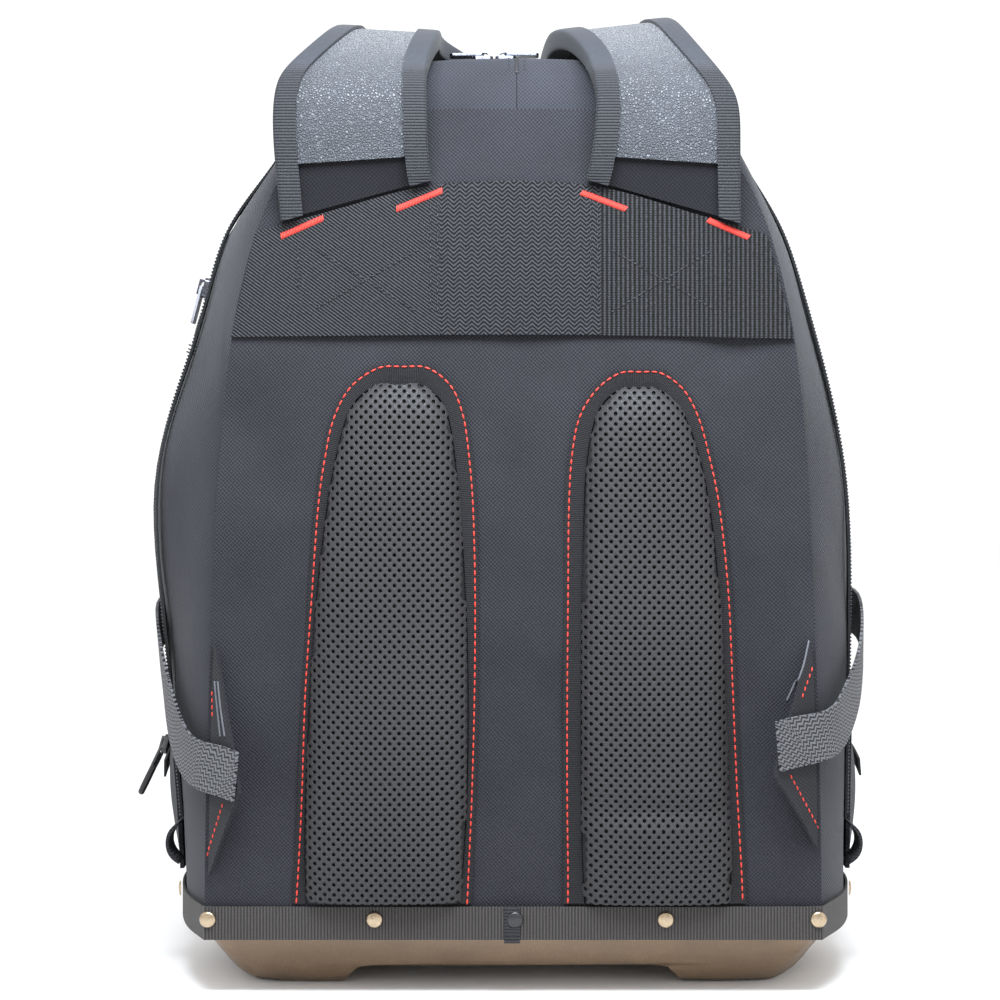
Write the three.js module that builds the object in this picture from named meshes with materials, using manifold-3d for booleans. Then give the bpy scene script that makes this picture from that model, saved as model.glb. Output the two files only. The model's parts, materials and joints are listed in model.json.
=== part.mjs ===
// A tool backpack that stands on a moulded base, seen from the side that lies on the wearer's back.
// X runs to the right, Y away from the wearer and Z up, in millimetres. Depths are measured from the
// seam round the back panel, and the whole bag is moved at the end so that Y is zero at its middle.
import * as THREE from 'three';
import { mergeVertices } from 'three/addons/utils/BufferGeometryUtils.js';
import Module from 'manifold-3d';

const wasm = await Module();
wasm.setup();

// Shell of the bag, over the cloth
const SEAM_HALF_WIDTH = 154;
const LEFT_SWELL = 33.5;
const RIGHT_SWELL = 21.7;
const BAG_HEIGHT = 474;
const ROLL_HEIGHT = 31;
const HEM_HEIGHT = 29;
const ZIP_DEPTH = 52;
const BASE_DEPTH = 188;
const TOP_TAPER = 53;
const FRONT_BULGE = 14;
const TOP_SEAM_SHIFT = 2;
const CLOTH = 2.2;
const PANEL_THICK = 5;
const PANEL_BULGE = 4;
const CLEAR = 0.3;
const SEAM_HEIGHT = BAG_HEIGHT - ROLL_HEIGHT;
const SEAM_DEPTH = PANEL_THICK / 2 + CLEAR;
const LEFT_HALF_WIDTH = SEAM_HALF_WIDTH + LEFT_SWELL;
const RIGHT_HALF_WIDTH = SEAM_HALF_WIDTH + RIGHT_SWELL;
const TOP_DEPTH = BASE_DEPTH - TOP_TAPER;

// Moulded base
const BASE_WALL = 3;
const BASE_PLAY = 0.3;
const BASE_RIM_HEIGHT = 65;
const FOOT_HEIGHT = 10.5;
const FOOT_INSET = 26;
const FOOT_ROUND_INSET = 21.5;
const FOOT_ROUND_HEIGHT = 3.2;
const FOOT_TOP_INSET = 17;
const SKIRT_INSET = 10;
const SKIRT_HEIGHT = 18.5;
const FOOT_GAP_HALF_WIDTH = 88;
const FOOT_GAP_DEPTH = 86;
const FOOT_SLOPE = 11;

// Webbing, tapes and rivets
const WEBBING = 1.5;
const BAND_LOW = 28.5;
const BAND_HIGH = 45;
const RIVET_RADIUS = 4.5;
const RIVET_HEIGHT = 1.8;
const TAPE = 1.2;
const TAPE_LIFT = 2 * CLEAR;
const ZIP_WIDTH = 12;
const FRONT_ZIP_ALONG = 0.36;
const YOKE_THICK = 2;

// Back pads
const PAD_FOOT = 46.5;
const PAD_LENGTH = 260;
const PAD_THICK = 15;
const FLANGE_THICK = 1.6;

// Low pocket on the front
const POCKET_LOW = 50;
const POCKET_FRONT_HIGH = 151;
const POCKET_SIDE_HIGH = 123;
const POCKET_BULGE = 14;
const POCKET_LIFT = 1 + CLEAR;

// Shoulder straps and the webbing that holds their lower ends
const STRAP_THICK = 11;
const LEATHER = 2;
const BINDING = 1.4;
const BINDING_WIDTH = 11.5;
const FOAM_LEAST = 1.2;
const STRAP_LEAST = 2 * BINDING + 3 * CLEAR + LEATHER + FOAM_LEAST;
const TONGUE_WIDTH = 25;
const ANCHOR_WIDTH = 25;
const ANCHOR_STANDOFF = 7;
const WING_TOP = 177;
const WING_REACH = 21;
const WING_THICK = 2.4;
const BUCKLE_WIDTH = 36;
const BUCKLE_HEIGHT = 30;
const BUCKLE_THICK = 5;
const BUCKLE_RIM = 4;
const LOCK_TURN = 0.5;
const LOCK_DROP = 12;
const LOCK_LIFT = 7;
const ANCHOR_RUN_IN = 14;
const ANCHOR_TAIL = 34;

// Zip sliders and their pulls
const SLIDER_LENGTH = 11;
const SLIDER_WIDTH = 9;
const SLIDER_BODY = 3;
const BRIDGE_SPAN = 8.4;
const BRIDGE_WIDTH = 2.4;
const BRIDGE_THICK = 1.2;
const PULL_THICK = 1.4;
const PULL_PLAY = 0.4;
const METAL_PULL_LENGTH = 18;
const METAL_PULL_WIDTH = 7;
const GREY_PULL_LENGTH = 21;
const GREY_PULL_WIDTH = 9;
const PULL_EYE_LENGTH = 5.6;
const LEFT_PULL_X = -15.5;
const RIGHT_PULL_X = -3.5;
const CORD_PULL_START = 13;
const CORD_PULL_LENGTH = 16;
const CORD_PULL_LEAN = 0.2;
const CORD_PULL_RADIUS = 2;

// Small loops low on the sides
const LOOP_REACH = 7;
const LOOP_HEIGHT = 22;
const LOOP_WIDTH = 20;
const LOOP_MIDDLE = 67;

// Half outline of the shell from its hem to its top, as shares of the half widths and heights.
const ARCH = [
  { seamWide: 1.0, seamHigh: 0, leftWide: 0.905, rightWide: 0.986, zipHigh: 0 },
  { seamWide: 0.997, seamHigh: 0.123, leftWide: 0.916, rightWide: 0.987, zipHigh: 0.119 },
  { seamWide: 0.99, seamHigh: 0.256, leftWide: 0.942, rightWide: 0.993, zipHigh: 0.249 },
  { seamWide: 0.977, seamHigh: 0.389, leftWide: 0.973, rightWide: 1.0, zipHigh: 0.373 },
  { seamWide: 0.964, seamHigh: 0.51, leftWide: 1.0, rightWide: 0.996, zipHigh: 0.492 },
  { seamWide: 0.945, seamHigh: 0.626, leftWide: 0.963, rightWide: 0.962, zipHigh: 0.582 },
  { seamWide: 0.916, seamHigh: 0.72, leftWide: 0.885, rightWide: 0.905, zipHigh: 0.67 },
  { seamWide: 0.873, seamHigh: 0.8, leftWide: 0.84, rightWide: 0.854, zipHigh: 0.739 },
  { seamWide: 0.825, seamHigh: 0.86, leftWide: 0.788, rightWide: 0.794, zipHigh: 0.809 },
  { seamWide: 0.766, seamHigh: 0.913, leftWide: 0.672, rightWide: 0.692, zipHigh: 0.874 },
  { seamWide: 0.675, seamHigh: 0.957, leftWide: 0.572, rightWide: 0.598, zipHigh: 0.933 },
  { seamWide: 0.558, seamHigh: 0.983, leftWide: 0.462, rightWide: 0.467, zipHigh: 0.973 },
  { seamWide: 0.403, seamHigh: 0.995, leftWide: 0.331, rightWide: 0.324, zipHigh: 0.993 },
  { seamWide: 0.201, seamHigh: 0.999, leftWide: 0.165, rightWide: 0.176, zipHigh: 0.999 },
  { seamWide: 0, seamHigh: 1.0, leftWide: 0, rightWide: 0, zipHigh: 1.0 },
];
const TOP_STATION = ARCH.length - 1;

// How the shell swells and closes from the main zip to its front edge, as shares of the zip's outline.
const BODY = [
  { wide: 1.0, high: 1.0 },
  { wide: 1.034, high: 0.991 },
  { wide: 1.003, high: 0.97 },
  { wide: 0.87, high: 0.926 },
];

// Yoke webbing, from its left end to its right: places across the seam's half width and up the panel.
const YOKE = [
  { lowAcross: -0.912, topAcross: -0.834, lowHigh: 0.724, topHigh: 0.85 },
  { lowAcross: -0.58, topAcross: -0.53, lowHigh: 0.725, topHigh: 0.881 },
  { lowAcross: -0.234, topAcross: -0.234, lowHigh: 0.726, topHigh: 0.909 },
  { lowAcross: 0.227, topAcross: 0.227, lowHigh: 0.726, topHigh: 0.909 },
  { lowAcross: 0.57, topAcross: 0.52, lowHigh: 0.724, topHigh: 0.879 },
  { lowAcross: 0.91, topAcross: 0.821, lowHigh: 0.722, topHigh: 0.847 },
];

// Back pads: the mesh cushion's edges and the sewn flange's edges, from the foot to the top. Heights
// are shares of the pad's length and the places across are shares of the seam's half width.
const PAD_LEFT = [
  { high: 0, out: 0.666, in: 0.175, sewHigh: 0, sewOut: 0.714, sewIn: 0.136 },
  { high: 0.077, out: 0.672, in: 0.162, sewHigh: 0.077, sewOut: 0.706, sewIn: 0.13 },
  { high: 0.212, out: 0.669, in: 0.149, sewHigh: 0.212, sewOut: 0.695, sewIn: 0.12 },
  { high: 0.404, out: 0.656, in: 0.145, sewHigh: 0.404, sewOut: 0.684, sewIn: 0.112 },
  { high: 0.596, out: 0.633, in: 0.153, sewHigh: 0.596, sewOut: 0.662, sewIn: 0.11 },
  { high: 0.758, out: 0.601, in: 0.175, sewHigh: 0.758, sewOut: 0.642, sewIn: 0.116 },
  { high: 0.854, out: 0.571, in: 0.188, sewHigh: 0.86, sewOut: 0.618, sewIn: 0.13 },
  { high: 0.923, out: 0.542, in: 0.205, sewHigh: 0.935, sewOut: 0.588, sewIn: 0.149 },
  { high: 0.967, out: 0.5, in: 0.24, sewHigh: 0.995, sewOut: 0.532, sewIn: 0.19 },
  { high: 0.992, out: 0.435, in: 0.3, sewHigh: 1.032, sewOut: 0.44, sewIn: 0.27 },
];
const PAD_RIGHT = [
  { high: 0, out: 0.698, in: 0.234, sewHigh: 0, sewOut: 0.756, sewIn: 0.164 },
  { high: 0.077, out: 0.705, in: 0.225, sewHigh: 0.077, sewOut: 0.75, sewIn: 0.164 },
  { high: 0.212, out: 0.694, in: 0.223, sewHigh: 0.212, sewOut: 0.737, sewIn: 0.162 },
  { high: 0.404, out: 0.679, in: 0.222, sewHigh: 0.404, sewOut: 0.723, sewIn: 0.162 },
  { high: 0.596, out: 0.666, in: 0.224, sewHigh: 0.596, sewOut: 0.708, sewIn: 0.164 },
  { high: 0.758, out: 0.636, in: 0.23, sewHigh: 0.758, sewOut: 0.679, sewIn: 0.167 },
  { high: 0.854, out: 0.603, in: 0.239, sewHigh: 0.86, sewOut: 0.645, sewIn: 0.177 },
  { high: 0.923, out: 0.562, in: 0.262, sewHigh: 0.935, sewOut: 0.609, sewIn: 0.203 },
  { high: 0.963, out: 0.516, in: 0.3, sewHigh: 0.99, sewOut: 0.558, sewIn: 0.262 },
  { high: 0.985, out: 0.461, in: 0.351, sewHigh: 1.022, sewOut: 0.484, sewIn: 0.338 },
];

// Shoulder straps, from above the yoke over the top to the front: both edges of the outer face. The
// places across are shares of the seam's half width, depths of the base's depth and heights of the
// bag's. The first row is sewn under the yoke and takes its place from it.
const STRAP_LEFT = [
  { outX: 0.749, outY: 0, outZ: 0, inX: 0.26, inY: 0, inZ: 0, thick: 0.3 },
  { outX: 0.76, outY: -0.074, outZ: 0.855, inX: 0.27, inY: -0.074, inZ: 0.87, thick: 0.85 },
  { outX: 0.77, outY: -0.098, outZ: 0.9, inX: 0.275, inY: -0.098, inZ: 0.906, thick: 1 },
  { outX: 0.768, outY: -0.098, outZ: 0.94, inX: 0.277, inY: -0.098, inZ: 0.942, thick: 1 },
  { outX: 0.748, outY: -0.069, outZ: 0.97, inX: 0.28, inY: -0.069, inZ: 0.969, thick: 1 },
  { outX: 0.678, outY: -0.011, outZ: 0.998, inX: 0.27, inY: -0.011, inZ: 0.997, thick: 1 },
  { outX: 0.625, outY: 0.069, outZ: 1.022, inX: 0.25, inY: 0.069, inZ: 1.018, thick: 1 },
  { outX: 0.588, outY: 0.17, outZ: 1.04, inX: 0.238, inY: 0.17, inZ: 1.034, thick: 1 },
  { outX: 0.57, outY: 0.287, outZ: 1.045, inX: 0.238, inY: 0.287, inZ: 1.036, thick: 1 },
  { outX: 0.56, outY: 0.4, outZ: 1.038, inX: 0.2, inY: 0.4, inZ: 1.034, thick: 1 },
];
const STRAP_RIGHT = [
  { outX: 0.734, outY: 0, outZ: 0, inX: 0.234, inY: 0, inZ: 0, thick: 0.3 },
  { outX: 0.731, outY: -0.074, outZ: 0.855, inX: 0.247, inY: -0.074, inZ: 0.87, thick: 0.85 },
  { outX: 0.728, outY: -0.098, outZ: 0.9, inX: 0.262, inY: -0.098, inZ: 0.906, thick: 1 },
  { outX: 0.722, outY: -0.098, outZ: 0.94, inX: 0.268, inY: -0.098, inZ: 0.942, thick: 1 },
  { outX: 0.67, outY: -0.067, outZ: 0.971, inX: 0.256, inY: -0.067, inZ: 0.97, thick: 1 },
  { outX: 0.615, outY: -0.009, outZ: 0.999, inX: 0.235, inY: -0.009, inZ: 0.996, thick: 1 },
  { outX: 0.57, outY: 0.072, outZ: 1.026, inX: 0.195, inY: 0.072, inZ: 1.019, thick: 1 },
  { outX: 0.538, outY: 0.17, outZ: 1.047, inX: 0.155, inY: 0.17, inZ: 1.034, thick: 1 },
  { outX: 0.508, outY: 0.287, outZ: 1.055, inX: 0.122, inY: 0.287, inZ: 1.04, thick: 1 },
  { outX: 0.49, outY: 0.4, outZ: 1.047, inX: 0.106, inY: 0.4, inZ: 1.035, thick: 1 },
];
const STRAP_FRONT = [
  { outX: 0.49, outY: 0.51, outZ: 1.028, inX: 0.09, inY: 0.515, inZ: 1.02, thick: 1 },
  { outX: 0.5, outY: 0.64, outZ: 1.0, inX: 0.085, inY: 0.65, inZ: 0.996, thick: 1 },
  { outX: 0.51, outY: 0.79, outZ: 0.958, inX: 0.09, inY: 0.8, inZ: 0.955, thick: 1 },
  { outX: 0.54, outY: 0.885, outZ: 0.862, inX: 0.115, inY: 0.89, inZ: 0.862, thick: 1 },
  { outX: 0.585, outY: 0.94, outZ: 0.755, inX: 0.165, inY: 0.945, inZ: 0.755, thick: 1 },
  { outX: 0.63, outY: 0.982, outZ: 0.66, inX: 0.24, inY: 0.987, inZ: 0.66, thick: 1 },
  { outX: 0.655, outY: 1.005, outZ: 0.59, inX: 0.34, inY: 1.01, inZ: 0.59, thick: 0.9 },
];

// Anchor webbing round each side: depth as a share of the way to the front edge, heights as shares of
// the bag's, and how far it stands off, as shares of the greatest standoff.
const ANCHOR_LEFT = [
  { along: 0.03, high: 0.247, off: 0.8 },
  { along: 0.12, high: 0.258, off: 0.7 },
  { along: 0.2, high: 0.29, off: 0.55 },
  { along: 0.28, high: 0.335, off: 0.5 },
  { along: 0.42, high: 0.375, off: 0.6 },
  { along: 0.62, high: 0.395, off: 0.65 },
  { along: 0.85, high: 0.408, off: 0.6 },
  { along: 0.98, high: 0.416, off: 0.6 },
];
const ANCHOR_RIGHT = [
  { along: 0.03, high: 0.28, off: 1.2 },
  { along: 0.12, high: 0.297, off: 0.9 },
  { along: 0.2, high: 0.318, off: 0.9 },
  { along: 0.28, high: 0.35, off: 1 },
  { along: 0.42, high: 0.385, off: 1 },
  { along: 0.62, high: 0.405, off: 0.8 },
  { along: 0.85, high: 0.413, off: 0.6 },
  { along: 0.98, high: 0.418, off: 0.6 },
];
const ANCHOR_FRONT = [
  { across: 1, high: 0.423, off: 0.8 },
  { across: 0.93, high: 0.43, off: 0.6 },
  { across: 0.82, high: 0.443, off: 0.5 },
  { across: 0.7, high: 0.462, off: 0.4 },
  { across: 0.61, high: 0.484, off: 0.35 },
];

// The flap in each side seam: its lowest height, how far it leans inward, and where the webbing is
// sewn to it, as a share of the way down.
const WING_LEFT = { bottom: 61, lean: 17, hold: 0.53 };
const WING_RIGHT = { bottom: 75, lean: 23, hold: 0.46 };
const wingSizes = (side) => (side < 0 ? WING_LEFT : WING_RIGHT);

// Where each row of the flange on a side seam lies, from its top to its bottom.
const WING = [
  { along: 0, reach: 0.03 },
  { along: 0.25, reach: 0.4 },
  { along: 0.52, reach: 0.88 },
  { along: 0.63, reach: 1 },
  { along: 0.8, reach: 0.5 },
  { along: 1, reach: 0.03 },
];

const mix = (from, to, share) => from + (to - from) * share;
const clamp = (value, low, high) => Math.min(Math.max(value, low), high);
const vector = (x, y, z) => new THREE.Vector3(x, y, z);
const steps = (from, to, count) => (
  Array.from({ length: count + 1 }, (_, index) => mix(from, to, index / count)));

// A row between the rows of a table, each column on a smooth curve through its values.
function sample(table, place) {
  const last = table.length - 1;
  const low = clamp(Math.floor(place), 0, last - 1);
  const t = place - low;
  const rows = [low - 1, low, low + 1, low + 2].map((index) => table[clamp(index, 0, last)]);
  const result = {};
  for (const column of Object.keys(table[0])) {
    const [a, b, c, d] = rows.map((row) => row[column]);
    const bend = 2 * a - 5 * b + 4 * c - d + t * (3 * (b - c) + d - a);
    result[column] = b + 0.5 * t * (c - a + t * bend);
  }
  return result;
}

// The place in a table at which a rising function reaches a value.
function placeWhere(rising, value, low, high) {
  let from = low;
  let to = high;
  for (let pass = 0; pass < 40; pass += 1) {
    const middle = (from + to) / 2;
    if (rising(middle) < value) from = middle;
    else to = middle;
  }
  return (from + to) / 2;
}

// Meshes

function signedVolume(positions, index) {
  const [a, b, c] = [vector(0, 0, 0), vector(0, 0, 0), vector(0, 0, 0)];
  let total = 0;
  for (let i = 0; i < index.length; i += 3) {
    a.fromArray(positions, 3 * index[i]);
    b.fromArray(positions, 3 * index[i + 1]);
    c.fromArray(positions, 3 * index[i + 2]);
    total += a.dot(b.cross(c));
  }
  return total / 6;
}

function closedGeometry(points, index) {
  const positions = points.flatMap((point) => point.toArray());
  const facing = signedVolume(positions, index) < 0 ? [...index].reverse() : index;
  const geometry = new THREE.BufferGeometry();
  geometry.setAttribute('position', new THREE.Float32BufferAttribute(positions, 3));
  geometry.setIndex(facing);
  geometry.computeVertexNormals();
  return geometry;
}

// A closed wall between two grids of points. A ring's last column joins its first.
function wall(outer, inner, ring = false) {
  const rows = outer.length;
  const columns = outer[0].length;
  const index = [];
  const at = (layer, row, column) => (layer * rows + row) * columns + (column % columns);
  const quad = (a, b, c, d) => index.push(a, b, c, a, c, d);
  const cells = ring ? columns : columns - 1;
  for (let c = 0; c < cells; c += 1) {
    for (let r = 0; r < rows - 1; r += 1) {
      quad(at(0, r, c), at(0, r, c + 1), at(0, r + 1, c + 1), at(0, r + 1, c));
      quad(at(1, r, c), at(1, r + 1, c), at(1, r + 1, c + 1), at(1, r, c + 1));
    }
    quad(at(0, 0, c + 1), at(0, 0, c), at(1, 0, c), at(1, 0, c + 1));
    quad(at(0, rows - 1, c), at(0, rows - 1, c + 1), at(1, rows - 1, c + 1), at(1, rows - 1, c));
  }
  for (let r = 0; r < rows - 1 && !ring; r += 1) {
    const end = columns - 1;
    quad(at(0, r, 0), at(0, r + 1, 0), at(1, r + 1, 0), at(1, r, 0));
    quad(at(0, r + 1, end), at(0, r, end), at(1, r, end), at(1, r + 1, end));
  }
  return closedGeometry([...outer.flat(), ...inner.flat()], index);
}

// A solid through level loops with as many points each, closed by flat ends.
function loft(loops) {
  const count = loops[0].length;
  const index = [];
  for (let level = 0; level < loops.length - 1; level += 1) {
    for (let i = 0; i < count; i += 1) {
      const next = (i + 1) % count;
      const [low, high] = [level * count, (level + 1) * count];
      index.push(low + i, low + next, high + next, low + i, high + next, high + i);
    }
  }
  const flat = loops[0].map((point) => new THREE.Vector2(point.x, point.y));
  const top = (loops.length - 1) * count;
  for (const [a, b, c] of THREE.ShapeUtils.triangulateShape(flat, [])) {
    index.push(a, c, b, top + a, top + b, top + c);
  }
  return closedGeometry(loops.flat(), index);
}

// Joins and cuts

function toSolid(geometry) {
  const bare = geometry.clone();
  bare.deleteAttribute('normal');
  bare.deleteAttribute('uv');
  const merged = mergeVertices(bare, 1e-4);
  return new wasm.Manifold(new wasm.Mesh({
    numProp: 3,
    vertProperties: new Float32Array(merged.attributes.position.array),
    triVerts: new Uint32Array(merged.index.array),
  }));
}

function fromSolid(solid) {
  const mesh = solid.getMesh();
  const geometry = new THREE.BufferGeometry();
  geometry.setAttribute('position', new THREE.Float32BufferAttribute(mesh.vertProperties, 3));
  geometry.setIndex(Array.from(mesh.triVerts));
  geometry.computeVertexNormals();
  return geometry;
}

const join = (first, second) => fromSolid(toSolid(first).add(toSolid(second)));
const cut = (body, tool) => fromSolid(toSolid(body).subtract(toSolid(tool)));

function block(sizeX, sizeY, sizeZ, x, y, z) {
  return new THREE.BoxGeometry(sizeX, sizeY, sizeZ).translate(x, y, z);
}

// A plate with rounded corners, flat in X and Y and resting on Z zero.
function roundedPlate(length, width, thick, radius) {
  const shape = new THREE.Shape();
  const [x, y] = [length / 2, width / 2];
  shape.moveTo(-x + radius, -y);
  shape.lineTo(x - radius, -y);
  shape.absarc(x - radius, -y + radius, radius, -Math.PI / 2, 0, false);
  shape.absarc(x - radius, y - radius, radius, 0, Math.PI / 2, false);
  shape.absarc(-x + radius, y - radius, radius, Math.PI / 2, Math.PI, false);
  shape.absarc(-x + radius, -y + radius, radius, Math.PI, Math.PI * 1.5, false);
  return new THREE.ExtrudeGeometry(shape, { depth: thick, bevelEnabled: false, curveSegments: 3 });
}

// Shell surface

function frontEdge(station) {
  return mix(BASE_DEPTH, TOP_DEPTH, clamp(sample(ARCH, station).zipHigh, 0, 1) ** 1.2);
}

function shellPoint(side, station, depth) {
  const arch = sample(ARCH, station);
  const zipWide = side < 0 ? LEFT_HALF_WIDTH * arch.leftWide : RIGHT_HALF_WIDTH * arch.rightWide;
  const zipRise = (BAG_HEIGHT - HEM_HEIGHT) * arch.zipHigh;
  let wide = zipWide;
  let rise = zipRise;
  if (depth < ZIP_DEPTH) {
    const rest = Math.min((ZIP_DEPTH - depth) / (ZIP_DEPTH - SEAM_DEPTH), 1);
    wide = mix(zipWide, SEAM_HALF_WIDTH * arch.seamWide, rest ** 1.5);
    rise = mix(zipRise, (SEAM_HEIGHT - HEM_HEIGHT) * arch.seamHigh, rest ** 7);
  } else {
    const along = (depth - ZIP_DEPTH) / (frontEdge(station) - ZIP_DEPTH);
    const row = sample(BODY, (BODY.length - 1) * along);
    wide *= row.wide;
    rise *= row.high;
  }
  const lean = TOP_SEAM_SHIFT * (1 - arch.seamWide) ** 4;
  return vector(side * Math.max(wide, CLEAR / 2) + lean, depth, HEM_HEIGHT + rise);
}

function shellNormal(side, station, depth) {
  const place = clamp(station, 0.01, TOP_STATION - 0.01);
  const up = shellPoint(side, place + 0.01, depth).sub(shellPoint(side, place - 0.01, depth));
  const out = shellPoint(side, place, depth + 0.1).sub(shellPoint(side, place, depth - 0.1));
  return up.cross(out).multiplyScalar(-side).normalize();
}

const shellLifted = (side, station, depth, lift) => (
  shellPoint(side, station, depth).addScaledVector(shellNormal(side, station, depth), lift));

const alongBody = (station, share) => mix(ZIP_DEPTH, frontEdge(station), share);

// The station at which the main zip's arch passes a height.
const zipStation = (height) => (
  placeWhere((station) => shellPoint(1, station, ZIP_DEPTH).z, height, 0, TOP_STATION));

// Rows of the shell's meshes: one a station, and two a station where the arch bends most.
const BEND_START = 7;
const BEND_END = 10;
const SHELL_STATIONS = [
  ...steps(0, BEND_START, BEND_START),
  ...steps(BEND_START + 0.5, BEND_END, 2 * (BEND_END - BEND_START) - 1),
  ...steps(BEND_END + 1, TOP_STATION, TOP_STATION - BEND_END - 1),
];

// Back panel

const seamStation = (height) => (
  placeWhere((station) => sample(ARCH, station).seamHigh, (height - HEM_HEIGHT) / (SEAM_HEIGHT - HEM_HEIGHT),
    0, TOP_STATION));

function panelBulge(x, height) {
  const half = SEAM_HALF_WIDTH * sample(ARCH, seamStation(height)).seamWide;
  const up = clamp((height - HEM_HEIGHT) / (SEAM_HEIGHT - HEM_HEIGHT), 0, 1);
  return PANEL_BULGE * clamp(1 - (x / half) ** 2, 0, 1) * Math.sin(Math.PI * up);
}

const panelFace = (x, height) => -PANEL_THICK / 2 - panelBulge(x, height);

function buildPanel() {
  const stations = [0, 0.5, ...steps(1, TOP_STATION - 1, TOP_STATION - 2)];
  const face = [];
  const back = [];
  for (const station of stations) {
    const arch = sample(ARCH, station);
    const height = HEM_HEIGHT + (SEAM_HEIGHT - HEM_HEIGHT) * arch.seamHigh;
    const points = steps(-1, 1, 8).map((across) => {
      const x = across * SEAM_HALF_WIDTH * arch.seamWide;
      return vector(x, panelFace(x, height), height);
    });
    face.push(points);
    back.push(points.map((point) => vector(point.x, point.y + PANEL_THICK, point.z)));
  }
  return wall(face, back);
}

// A piece that lies on the panel's face: its points across and up, and how far it stands off.
function onPanel(points, lift) {
  return points.map((point) => vector(point.x, panelFace(point.x, point.z) - lift, point.z));
}

// Cloth strips of the shell

function buildStrip(side, depths) {
  const outer = SHELL_STATIONS.map((station) => (
    depths(station).map((depth) => shellPoint(side, station, depth))));
  const inner = SHELL_STATIONS.map((station) => (
    depths(station).map((depth) => shellLifted(side, station, depth, -CLOTH))));
  return wall(outer, inner);
}

function buildGusset(side) {
  const tape = ZIP_DEPTH - ZIP_WIDTH / 2;
  const depths = [0, 0.06, 0.17, 0.38, 0.7, 1].map((share) => mix(SEAM_DEPTH, tape, share));
  return buildStrip(side, () => [...depths, ZIP_DEPTH - CLEAR / 2]);
}

const BODY_SHARES = [0.22, 0.41, 0.6, 0.8, 1];

function buildBodySide(side) {
  const tape = [ZIP_DEPTH + CLEAR / 2, ZIP_DEPTH + ZIP_WIDTH / 2];
  return buildStrip(side, (station) => [...tape, ...BODY_SHARES.map((share) => alongBody(station, share))]);
}

// The front panel closes the shell in front of its front edge and swells outward.
function frontPoint(across, station) {
  const depth = frontEdge(station);
  const left = shellPoint(-1, station, depth);
  const right = shellPoint(1, station, depth);
  const fade = 1 - 0.7 * sample(ARCH, station).zipHigh ** 4;
  const bulge = FRONT_BULGE * fade * (1 - Math.abs(across) ** 3);
  const share = (across + 1) / 2;
  return vector(mix(left.x, right.x, share), depth + CLEAR + bulge, mix(left.z, right.z, share));
}

function frontNormal(across, station) {
  const [a, s] = [clamp(across, -0.99, 0.99), clamp(station, 0.05, TOP_STATION - 0.1)];
  const right = frontPoint(a + 0.01, s).sub(frontPoint(a - 0.01, s));
  const up = frontPoint(a, s + 0.05).sub(frontPoint(a, s - 0.05));
  return up.cross(right).normalize();
}

const frontLifted = (across, station, lift) => (
  frontPoint(across, station).addScaledVector(frontNormal(across, station), CLOTH + lift));

const frontStation = (height) => (
  placeWhere((station) => frontPoint(1, station).z, height, 0, TOP_STATION - 1));

// The place across the front, from -1 to 1, of a distance from the middle.
function frontAcross(x, station) {
  const left = frontPoint(-1, station).x;
  const right = frontPoint(1, station).x;
  return 2 * (x - left) / (right - left) - 1;
}

const FRONT_ACROSS = [-1, -0.88, -0.68, -0.4, 0, 0.4, 0.68, 0.88, 1];

function buildFrontPanel() {
  const stations = SHELL_STATIONS.filter((station) => station <= TOP_STATION - 1);
  const outer = stations.map((station) => FRONT_ACROSS.map((place) => frontLifted(place, station, 0)));
  const inner = stations.map((station) => FRONT_ACROSS.map((place) => frontPoint(place, station)));
  return wall(outer, inner);
}

// Base tray and the band round its rim

// The same loop drawn in toward its middle by an inset at its widest, laid at one height.
function insetLoop(loop, inset, height) {
  const box = new THREE.Box3().setFromPoints(loop);
  const middle = box.getCenter(vector(0, 0, 0));
  const half = box.getSize(vector(0, 0, 0)).multiplyScalar(0.5);
  return loop.map((point) => vector(
    mix(point.x, middle.x, inset / half.x),
    mix(point.y, middle.y, inset / half.y),
    height,
  ));
}

// The tray's rim lies inside the cloth all the way up to its top.
function trayOutline() {
  const margin = -(CLOTH + CLEAR + BASE_PLAY);
  const rim = zipStation(BASE_RIM_HEIGHT);
  const back = SEAM_DEPTH + BASE_PLAY;
  const depths = [...steps(back, ZIP_DEPTH, 4), ...steps(ZIP_DEPTH, frontEdge(rim), 5).slice(1)];
  const edge = (side) => depths.map((depth) => {
    const [low, high] = [0, rim].map((station) => shellLifted(side, station, depth, margin));
    return Math.abs(low.x) < Math.abs(high.x) ? low : high;
  });
  const front = [0.8, 0.5, 0, -0.5, -0.8].map((across) => frontLifted(across, rim, margin));
  const loop = [...edge(1), ...front, ...edge(-1).reverse()];
  return loop.map((point) => vector(point.x, Math.max(point.y, back), 0));
}

function archCuts(grow) {
  const high = FOOT_HEIGHT + grow;
  const span = 2 * (LEFT_HALF_WIDTH + BASE_DEPTH);
  const trapezoid = (half) => {
    const shape = new THREE.Shape();
    shape.moveTo(-half - grow, -1);
    shape.lineTo(half + grow, -1);
    shape.lineTo(half + grow - FOOT_SLOPE, high);
    shape.lineTo(-half - grow + FOOT_SLOPE, high);
    return new THREE.ExtrudeGeometry(shape, { depth: span, bevelEnabled: false });
  };
  const across = trapezoid(FOOT_GAP_HALF_WIDTH).rotateX(Math.PI / 2).translate(0, span / 2, 0);
  const along = trapezoid(FOOT_GAP_DEPTH / 2).rotateX(Math.PI / 2).rotateZ(Math.PI / 2);
  along.translate(-span / 2, BASE_DEPTH / 2, 0);
  return join(across, along);
}

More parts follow.
